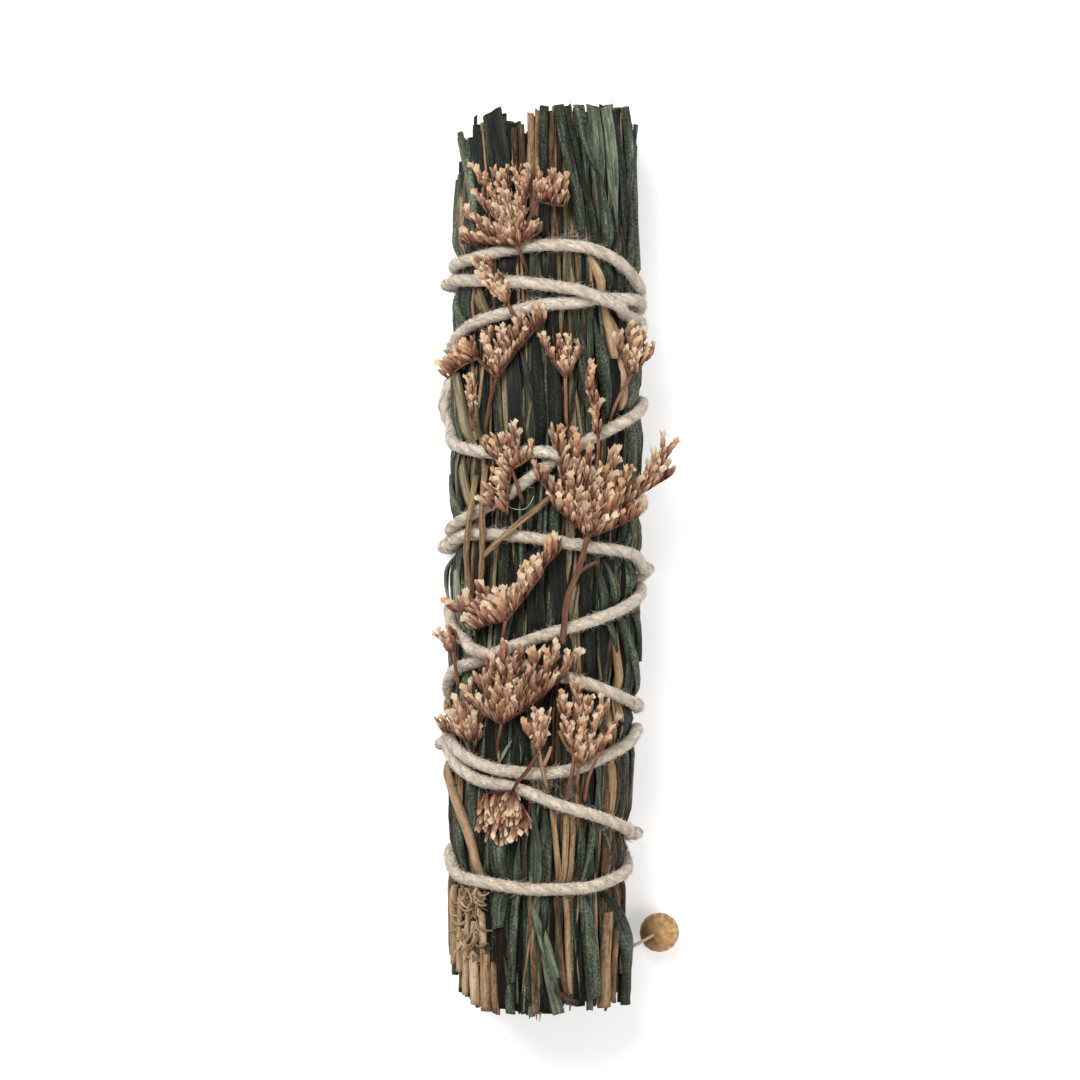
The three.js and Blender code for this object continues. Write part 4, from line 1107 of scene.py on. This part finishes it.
def floret(rng, foot, ahead, length, size, pale):
    """One calyx in its sheath, open with a toothed rim or closed to a point, and a loose scale beside it."""
    is_open = rng.random() < 0.35 + 0.4 * pale
    shape = OPEN_FLORET if is_open else CLOSED_FLORET
    tone = min(max(rng.uniform(-0.1, 0.75) + 0.5 * pale - (0 if is_open else 0.15), 0), 1)
    seed = rng.uniform(0, 90)
    side, out = turned_frame(ahead, Vector((rng.uniform(-1, 1), rng.uniform(-1, 1), rng.uniform(-1, 1))))
    bend = rng.uniform(-0.2, 0.2) * side + rng.uniform(-0.2, 0.2) * out
    flat = rng.uniform(0.5, 1)
    rows = []
    for t, radius, spot in shape:
        middle = foot + ahead * length * t + bend * length * t * t
        points = []
        for k in range(FLORET_SIDES):
            a = k * FULL_TURN / FLORET_SIDES
            tooth = (0.16 if k % 2 else -0.04) * length if is_open and t > 0.95 else 0
            tooth += 0.1 * length * (k % 3) if radius == BRACT else 0
            reach = radius * size * (1 - 0.2 * (k % 2)) * rng.uniform(0.84, 1.16)
            points.append(middle + ahead * tooth + reach * (math.cos(a) * side + flat * math.sin(a) * out))
        rows.append((points, [k * 0.4 for k in range(FLORET_SIDES)], t * length, [spot] * FLORET_SIDES))
    calyx_tube = Tube(rows, 1, tone, seed, creased=True)
    lean = rng.uniform(0, FULL_TURN)
    off = math.cos(lean) * side + math.sin(lean) * out
    beside = off.cross(ahead)
    long = length * rng.uniform(0.45, 0.75)
    rows = []
    for t, wide, spot in SCALE:
        middle = foot + ahead * long * t + off * size * (0.3 + 0.55 * t)
        points = []
        for k in range(FLORET_SIDES):
            a = k * FULL_TURN / FLORET_SIDES
            points.append(middle + size * wide * (math.cos(a) * beside + 0.3 * math.sin(a) * off))
        rows.append((points, [k * 0.4 for k in range(FLORET_SIDES)], t * long, [spot] * FLORET_SIDES))
    return [calyx_tube, Tube(rows, 1, rng.uniform(0, 0.9), seed + 5, creased=True)]


FLORET_SPACING = 1.15
FLORET_LENGTH = 3.9
LEANING = 0.68  # how far the florets turn from the branch to the sprig's own heading


def spike(rng, fork, tip, heading, size=1, pale=0.3):
    """A branch from its fork, with florets that stand on it side by side like a comb and all head one way."""
    start, end = on_crest(*fork), on_crest(*tip)
    outline = (end - start).normalized()
    head = outline.lerp(Vector((*heading, 0)).normalized(), LEANING).normalized()
    length = FLORET_LENGTH * size
    end = end - head * length * 0.8
    reach = (end - start).length
    ahead = (end - start).normalized()
    out = Vector(((start.x + end.x) / 2 - centre_x(fork[1]), 0, HALF_HEIGHT)).normalized()
    side, out = turned_frame(ahead, out)
    bow = rng.uniform(-0.05, 0.05) * reach * side
    branch = [start, start.lerp(end, 0.5) + bow, end]
    tubes = [rod(branch, 0.3, FLORET_SIDES, rng.uniform(0, 0.4) + 0.5 * pale, rng.uniform(0, 90), 0.7)]
    along = min(0.1 * reach, 1)
    across = head.cross(out).normalized()
    while along <= reach + 0.01:
        t = along / reach
        foot = start.lerp(end, t) + bow * math.sin(math.pi * t)
        for depth in (-0.5, 0.35):
            sideways = across * rng.uniform(-0.28, 0.28)
            direction = head + sideways + out * (depth * 0.3 + rng.uniform(-0.12, 0.12))
            place = foot + out * (depth * size + rng.uniform(-0.2, 0.2)) + across * rng.uniform(-0.3, 0.3)
            long = length * rng.uniform(0.78, 1.12)
            tubes += floret(rng, place, direction.normalized(), long, size * rng.uniform(0.85, 1.12), pale)
        along += FLORET_SPACING * size * rng.uniform(0.85, 1.2)
    return tubes


# The papery calyx: purple-brown at its foot, rose-tan in the middle and pale straw at its rim. The near
# black first stop at the foot is partly the calyx's own brown and partly painted shade among the florets.
SHADED_BROWN_TO_STRAW = [
    (0.1, "#28110a"), (0.26, "#5e392a"), (0.44, "#8f6a54"), (0.62, "#b69377"), (0.86, "#e1cbaa"),
]
calyx, tree, shader = new_material("dried papery calyx", 0.78, 0.25)
reach = add(tree, "Attribute", {"attribute_name": "reach"}, take="Fac")
tone = add(tree, "Attribute", {"attribute_name": "tone"}, take="Fac")
grain = add(tree, "Attribute", {"attribute_name": "grain"}, take="Vector")
rib_scale = add(tree, "VectorMath", TIMES, _0=grain, _1=(2.4, 0.9, 3))
ribs = add(tree, "TexNoise", {}, Vector=rib_scale, Scale=1, Detail=3, Roughness=0.7)
half_tone = add(tree, "Math", TIMES, _0=tone, _1=0.5)
shifted = add(tree, "Math", TIMES_PLUS, _0=reach, _1=1.25, _2=half_tone)
level = add(tree, "Math", TIMES_PLUS, _0=ribs, _1=1.3, _2=shifted)
place = add(tree, "Math", TIMES_PLUS, _0=level, _1=0.52, _2=-0.24)
petal = add(tree, "ValToRGB", {"stops": SHADED_BROWN_TO_STRAW}, Fac=place)
one_of_many = add(tree, "VectorMath", TIMES, _0=grain, _1=(0.05, 0.05, 9))
hue = add(tree, "TexNoise", {}, Vector=one_of_many, Scale=1, Detail=0)
rusty = add(tree, "MapRange", {}, Value=hue, From_Min=0.52, From_Max=0.64, To_Max=0.5)
tinted = add(
    tree, "Mix", {"data_type": "RGBA", "blend_type": "MULTIPLY"}, take="Result",
    _0=rusty, _6=petal, _7=linear("#f4c296"),
)
set_surface(tree, shader, tinted, ribs, 0.1, 0.7)
print("faces of a floret:", FLORET_SIDES * (len(OPEN_FLORET) - 1) + 2)

# %% [markdown]
# Each sprig has its stem as places across, along and above the leaves, and the tips of its spikes. They are
# the CAD model's own places, so each sprig of florets covers its plain solid.

# %% The flower sprigs
TUCKED = -0.55  # mm, a stem under a turn of twine
OVER = 4.3  # mm, a stem that clears the turns
SPRIGS = {
    "top": dict(
        heading=(-0.2, 1), size=0.82, pale=0.3,
        stem=[(-2.4, 50.8, TUCKED), (-2.6, 57, TUCKED), (-3.4, 59.4, 3.4), (-4.4, 62, OVER)],
        tips=[(-12.8, 78.4), (-9.6, 78), (-7, 79), (-4.6, 79.2), (-2, 78.8), (-16.4, 65), (-15.6, 69.8),
              (-12.6, 73.6), (0.2, 67.4), (-10, 72), (-13, 68), (-7, 73), (-10.6, 66.6), (-3.4, 73)],
        second=(-0.6, 71, OVER),
        second_tips=[(-0.4, 77.6), (2.6, 77.6), (4.8, 75.6), (5.8, 72.4)],
    ),
    "upper_left": dict(
        heading=(-0.6, 0.8), size=0.8, pale=0.5,
        stem=[(-5.4, 48.6, OVER), (-5.8, 49.6, OVER), (-6.2, 50.4, OVER)],
        tips=[(-13.4, 60.8), (-11, 60.6), (-9, 57.4), (-7.4, 55.4), (-11.6, 57)],
    ),
    "left_comb": dict(
        heading=(-0.35, 1), size=0.9, pale=0.2,
        stem=[(-10.2, 18.6, TUCKED), (-10.4, 24.4, TUCKED), (-10.6, 27, 1), (-9.8, 32, 1.2), (-8.6, 36, 2.6)],
        tips=[(-10.6, 45.4), (-7, 46.6), (-4, 48.4), (1, 50.4)],
        second=(-12.4, 40, 2.6),
        second_tips=[(-20, 38.4), (-18, 42), (-14.6, 44)],
    ),
    "centre": dict(
        heading=(0, 1), size=0.75, pale=0.65,
        stem=[(5.2, 15.4, TUCKED), (5.4, 25.4, TUCKED), (5.2, 28, 1), (5, 36, 1.8)],
        tips=[(0.4, 45), (3, 44.6), (6, 45), (8.6, 43.4)],
    ),
    "right": dict(
        heading=(0.1, 1), size=0.85, pale=0.7,
        stem=[(11.8, 20.6, TUCKED), (13.4, 26.6, TUCKED), (15, 31, 1), (18, 36.6, 2)],
        tips=[(15.8, 45), (18.2, 47.6), (20.8, 46.4), (22.6, 43.4), (19.4, 44)],
    ),
    "slender": dict(
        heading=(0, 1), size=0.9, pale=0.5,
        stem=[(11.2, 17.8, OVER), (11.4, 21, OVER), (11.6, 24, OVER)],
        tips=[(9.6, 38.8)],
    ),
    "great_fan": dict(
        heading=(0.12, 1), size=1.05, pale=0.3,
        stem=[(4.4, -16.6, 3.8), (4.8, -12.4, 3.8), (5.4, -7.6, 2.6), (7.4, -2.4, 3.6), (8.4, 1, OVER),
              (9.4, 4.6, OVER)],
        thick=0.7, twigs=[[(7.2, -2.6, 3.5), (9.4, -1.2, 3.4), (11.4, -0.2, 3.4)]],
        tips=[(-0.8, 19.6), (3.2, 26.6), (7, 26.4), (13.4, 19.4), (18.6, 19.6), (26.4, 24.6), (26.2, 19.4),
              (21, 12), (3, 13.4), (9.8, 22), (11.6, 16), (15.6, 23), (16, 15), (6, 18)],
        rise=1.6,
    ),
    "curled": dict(
        heading=(-0.2, 1), size=0.9, pale=0.4,
        stem=[(-3.4, 11.2, 2), (-4.4, 14.6, OVER), (-5.6, 18, OVER)],
        tips=[(-11.6, 24), (-8.6, 25.4), (-5.4, 27.4), (-1.8, 23), (-11.4, 12.4), (-8, 11.4)],
    ),
    "waist": dict(
        heading=(-0.3, 1), size=1.1, pale=0.35,
        stem=[(-7.6, -23.6, TUCKED), (-7.4, -18, TUCKED), (-7.2, -14.6, 3.4), (-6.8, -12, OVER)],
        tips=[(3, 4.6), (0.2, 0.6), (-18.6, -7.2), (-12.4, -4.4), (-8.4, -4.6), (-15, -11)],
    ),
    "heart": dict(
        heading=(0, 1), size=1, pale=0.2,
        stem=[(-8.8, -44.4, TUCKED), (-8.4, -38, TUCKED), (-8.2, -35.6, 2.6), (-7.6, -32.4, OVER)],
        tips=[(-10, -18.4), (-7, -15), (-3.6, -15.4), (0, -16.6), (3.8, -16.2), (8.2, -16.6), (-14.8, -24.8),
              (-12.4, -21.4)],
        rise=2.6,
    ),
    "lower_left": dict(
        heading=(-0.1, 1), size=1, pale=0.4,
        stem=[(-13.4, -44.6, TUCKED), (-13, -38, TUCKED), (-12.8, -36.2, 1.8)],
        tips=[(-20, -31.2), (-18.8, -28), (-16, -27), (-12.4, -28)],
    ),
    "pale": dict(
        heading=(0, 1), size=0.85, pale=1,
        stem=[(1.8, -48.4, TUCKED), (1.5, -46, TUCKED), (1, -43.8, 3.6), (0.4, -41, OVER),
              (-0.2, -37.6, OVER)],
        twigs=[[(0.6, -40.6, OVER), (1.6, -38.6, OVER), (2.2, -36.8, 3.8)]],
        tips=[(-3, -31.4), (-1, -28.4), (1.4, -29)],
    ),
    "lower_right": dict(
        heading=(0.05, 1), size=0.9, pale=0.6,
        stem=[(7.2, -53.6, TUCKED), (7.3, -47.2, TUCKED), (7.4, -44, 3.4), (7.6, -41, OVER)],
        twigs=[
            [(5.2, -48, TUCKED), (5.8, -44.4, 3.4), (6.6, -40, OVER), (6, -35, OVER), (4.8, -31.6, OVER)],
            [(8.8, -48, TUCKED), (9.4, -43.6, 3.6), (11, -39.6, OVER), (13, -36, OVER)],
            [(3.8, -33.6, OVER), (5.2, -36.6, OVER), (6.6, -38.4, OVER)],
        ],
        tips=[(4, -25.4), (7, -23.6), (10, -25.6), (13, -27), (15.6, -31)],
    ),
    "hanging": dict(
        heading=(0.05, -1), size=1, pale=0,
        stem=[(-0.2, -38, OVER), (-2.4, -41.4, OVER), (-4.4, -43.8, OVER), (-5.4, -45.6, 3.6)],
        tips=[(-12.8, -49.4), (-12, -53.4), (-10, -55.8), (-7.4, -56.2), (-4.8, -56), (-2.6, -54),
              (-8.4, -51)],
    ),
    "side": dict(
        heading=(-0.6, 0.7), size=0.7, pale=0.6,
        stem=[(-16.2, -24.8, OVER), (-16.8, -21, OVER), (-17.2, -18.4, OVER)],
        tips=[(-20.4, -14), (-18, -12.8)],
    ),
    "small": dict(
        heading=(-0.1, 1), size=0.8, pale=0.5,
        stem=[(-13.4, 25.8, 1), (-13.4, 28, 1.2)],
        tips=[(-13.8, 37.4)],
    ),
}
TIP_RISE = 0.5  # mm, how much higher the tips stand than the fork
STEM_RADIUS = 0.45

rng = random.Random(23)
florets_made = 0
for name, sprig in SPRIGS.items():
    fork = sprig["stem"][-1]
    rise = sprig.get("rise", TIP_RISE)
    looks = (sprig["heading"], sprig["size"], sprig["pale"])
    stem = [on_crest(*place) for place in sprig["stem"]]
    tone = 0.25 + 0.5 * sprig["pale"]
    tubes = [rod(stem, sprig.get("thick", STEM_RADIUS), FLORET_SIDES, tone, rng.uniform(0, 90), 0.8)]
    for twig in sprig.get("twigs", []):
        places = [on_crest(*place) for place in twig]
        tubes.append(rod(places, STEM_RADIUS, FLORET_SIDES, tone, rng.uniform(0, 90), 0.7))
    for tip in sprig["tips"]:
        tubes += spike(rng, fork, (*tip, fork[2] + rise), *looks)
    if "second" in sprig:
        second = sprig["second"]
        tubes.append(rod([stem[-1], on_crest(*second)], STEM_RADIUS, FLORET_SIDES, 0.3, 7, 0.8))
        for tip in sprig["second_tips"]:
            tubes += spike(rng, second, (*tip, second[2] + rise), *looks)
    florets_made += sum(tube.material == 1 for tube in tubes)
    piece = tubes_mesh(f"florets_{name}", tubes, FLORET_SIDES, [flower_stem, calyx])
    dress(piece, "floret", f"flower_sprig_{name}")
print("florets:", florets_made)

# %% [markdown]
# Two bare stems lie over the twine. They are old stalks that have lost their flowers: tan, straight and
# ridged.

# %% The bare stems
BARE_RADIUS = 0.68
BARE_STEMS = {
    "bare_stem_forked": [
        [(-10.7, 18.6, 1.1), (-11.2, 13.6, 3.6), (-11.4, 8.8, 3.9), (-11.4, 2.4, 3.7), (-11.6, -2.6, 1.6),
         (-12, -9.4, 1.1), (-12, -14, TUCKED), (-11.8, -22, TUCKED)],
        [(2.6, 12.8, 1.2), (-1, 9.9, 2.6), (-4.6, 7, 3.8), (-8.4, 3.6, 3.9), (-11.4, 0.6, 3)],
    ],
    "bare_stem_left": [
        [(-12.6, 16.6, 1.1), (-13.4, 12, 3.6), (-14, 7.6, 3.9), (-14.6, 1.6, 3.7), (-14.2, -3.6, 1.4),
         (-13.6, -11.4, 1.1)],
    ],
}
for name, lines in BARE_STEMS.items():
    tubes = [
        rod([on_crest(*place) for place in line], BARE_RADIUS, 10, 0.45, 30 + k, 0.85, 0.14)
        for k, line in enumerate(lines)
    ]
    piece = tubes_mesh(name + "_ridged", tubes, 10, [woody_tan])
    dress(piece, "stalk", name)
print("bare stems:", list(BARE_STEMS))

# %% [markdown]
# The seed pod is a papery globe with sixteen fine ribs. Its thin stalk meets it near the top, where small
# sepals lie, and the husk is dry and brown on that side. A turned profile could make the globe. Here a
# sphere from the sphere operator is pulled in between its ribs, which is shorter.

# %% The seed pod
POD_RADIUS = 4
POD_CENTRE = Vector((24.1, -75.2, POD_RADIUS))
POD_RIBS = 16
RIB_DEPTH = 0.014  # share of the radius
SEPALS = [0.6, 0.8, 1.5, 0.8, 0.7]  # mm, how far each reaches out
POD_STALK = [(18.4, -77.6, 13), (19.8, -77, 11.4), (21.4, -76.2, 9.6), (23.2, -75.4, 7.8)]
DRY_PATCH = 5.6  # mm, how far the dry brown patch spreads on the stalk's side
PATCH_CENTRE = Vector((20.8, -76.2, 6.2))

pod_husk, tree, shader = new_material("dry papery seed husk", 0.6, 0.35)
place = add(tree, "TexCoord", {}, take="Object")
mottle = add(tree, "TexNoise", {}, Vector=place, Scale=700, Detail=4)
browns = [(0.3, "#9b7040"), (0.45, "#b38a57"), (0.6, "#c39c68"), (0.8, "#d4b07c")]
husk = add(tree, "ValToRGB", {"stops": browns}, Fac=mottle)
rib = add(tree, "Attribute", {"attribute_name": "reach"}, take="Fac")
in_valley = add(tree, "Mix", COLOURS, take="Result", _0=rib, _6=husk, _7=linear("#5f3c1e"))
set_surface(tree, shader, in_valley, mottle, 0.15, 0.6)

stalk_line = [Vector(place) for place in POD_STALK]
crown = stalk_line[-1]
bm = bmesh.new()
valley_share = bm.verts.layers.float.new("reach")
bmesh.ops.create_uvsphere(bm, u_segments=128, v_segments=32, radius=POD_RADIUS * MM)
for vert in bm.verts:
    around = math.atan2(vert.co.y, vert.co.x)
    valley = 0.5 - 0.5 * math.cos(around * POD_RIBS)
    from_pole = math.hypot(vert.co.x, vert.co.y) / (POD_RADIUS * MM)
    vert.co.x *= 1 - RIB_DEPTH * valley
    vert.co.y *= 1 - RIB_DEPTH * valley
    spot = POD_CENTRE + vert.co / MM
    patch = smooth(DRY_PATCH - (spot - PATCH_CENTRE).length + 1.4 * noise.noise(spot * 0.9), 0, DRY_PATCH)
    vert[valley_share] = max(0.4 * (1 - valley) ** 4 * from_pole, 0.85 * patch)
for face in bm.faces:
    face.smooth = True
bmesh.ops.translate(bm, verts=bm.verts, vec=POD_CENTRE * MM)
dress(mesh_object("seed_pod_globe", bm, [pod_husk]), "seed_pod", "seed_pod")

pod_parts = [rod(stalk_line, 0.36, 6, 0.8, 4, 0.9)]
for k, long in enumerate(SEPALS):
    a = k * FULL_TURN / len(SEPALS) + 2
    sepal = []
    for share in (0.15, 0.5, 0.8, 1):
        x = crown.x + math.cos(a) * long * share
        y = crown.y + math.sin(a) * long * share
        spot = Vector((x, y, POD_CENTRE.z))
        out = (spot - POD_CENTRE).length
        spot.z += math.sqrt(max((POD_RADIUS + 0.1) ** 2 - out**2, 0.1))
        sepal.append(spot)
    pod_parts.append(rod(sepal, 0.26, 6, 0.5, 6 + k, 0.3, step=0.4))
dress(tubes_mesh("seed_pod_stalk", pod_parts, 6, [woody_tan]), "seed_pod", "seed_pod")
print("pod top in mm:", POD_CENTRE.z + POD_RADIUS)

# %% [markdown]
# The table is plain white paper with a faint fleck. It also glows a little of its own, painted light with
# no lamp behind it, which fills in and weakens the shadows on it. A brighter sky would do that too, but it
# would flatten the leaves.

# %% The table's finish
TABLE_GLOW = 0.34
paper, tree, shader = new_material("glowing white paper table", 0.9, 0.5)
# The glow is painted light that fills the table's shadows
shader.inputs["Emission Color"].default_value = (1, 1, 1, 1)
shader.inputs["Emission Strength"].default_value = TABLE_GLOW
place = add(tree, "TexCoord", {}, take="Object")
fleck = add(tree, "TexNoise", {}, Vector=place, Scale=900, Detail=3)
white = add(tree, "ValToRGB", {"stops": [(0.2, "#f2f2f2"), (0.8, "#fbfbfb")]}, Fac=fleck)
tree.links.new(white, shader.inputs["Base Color"])
table.data.materials.append(paper)
print("table done")
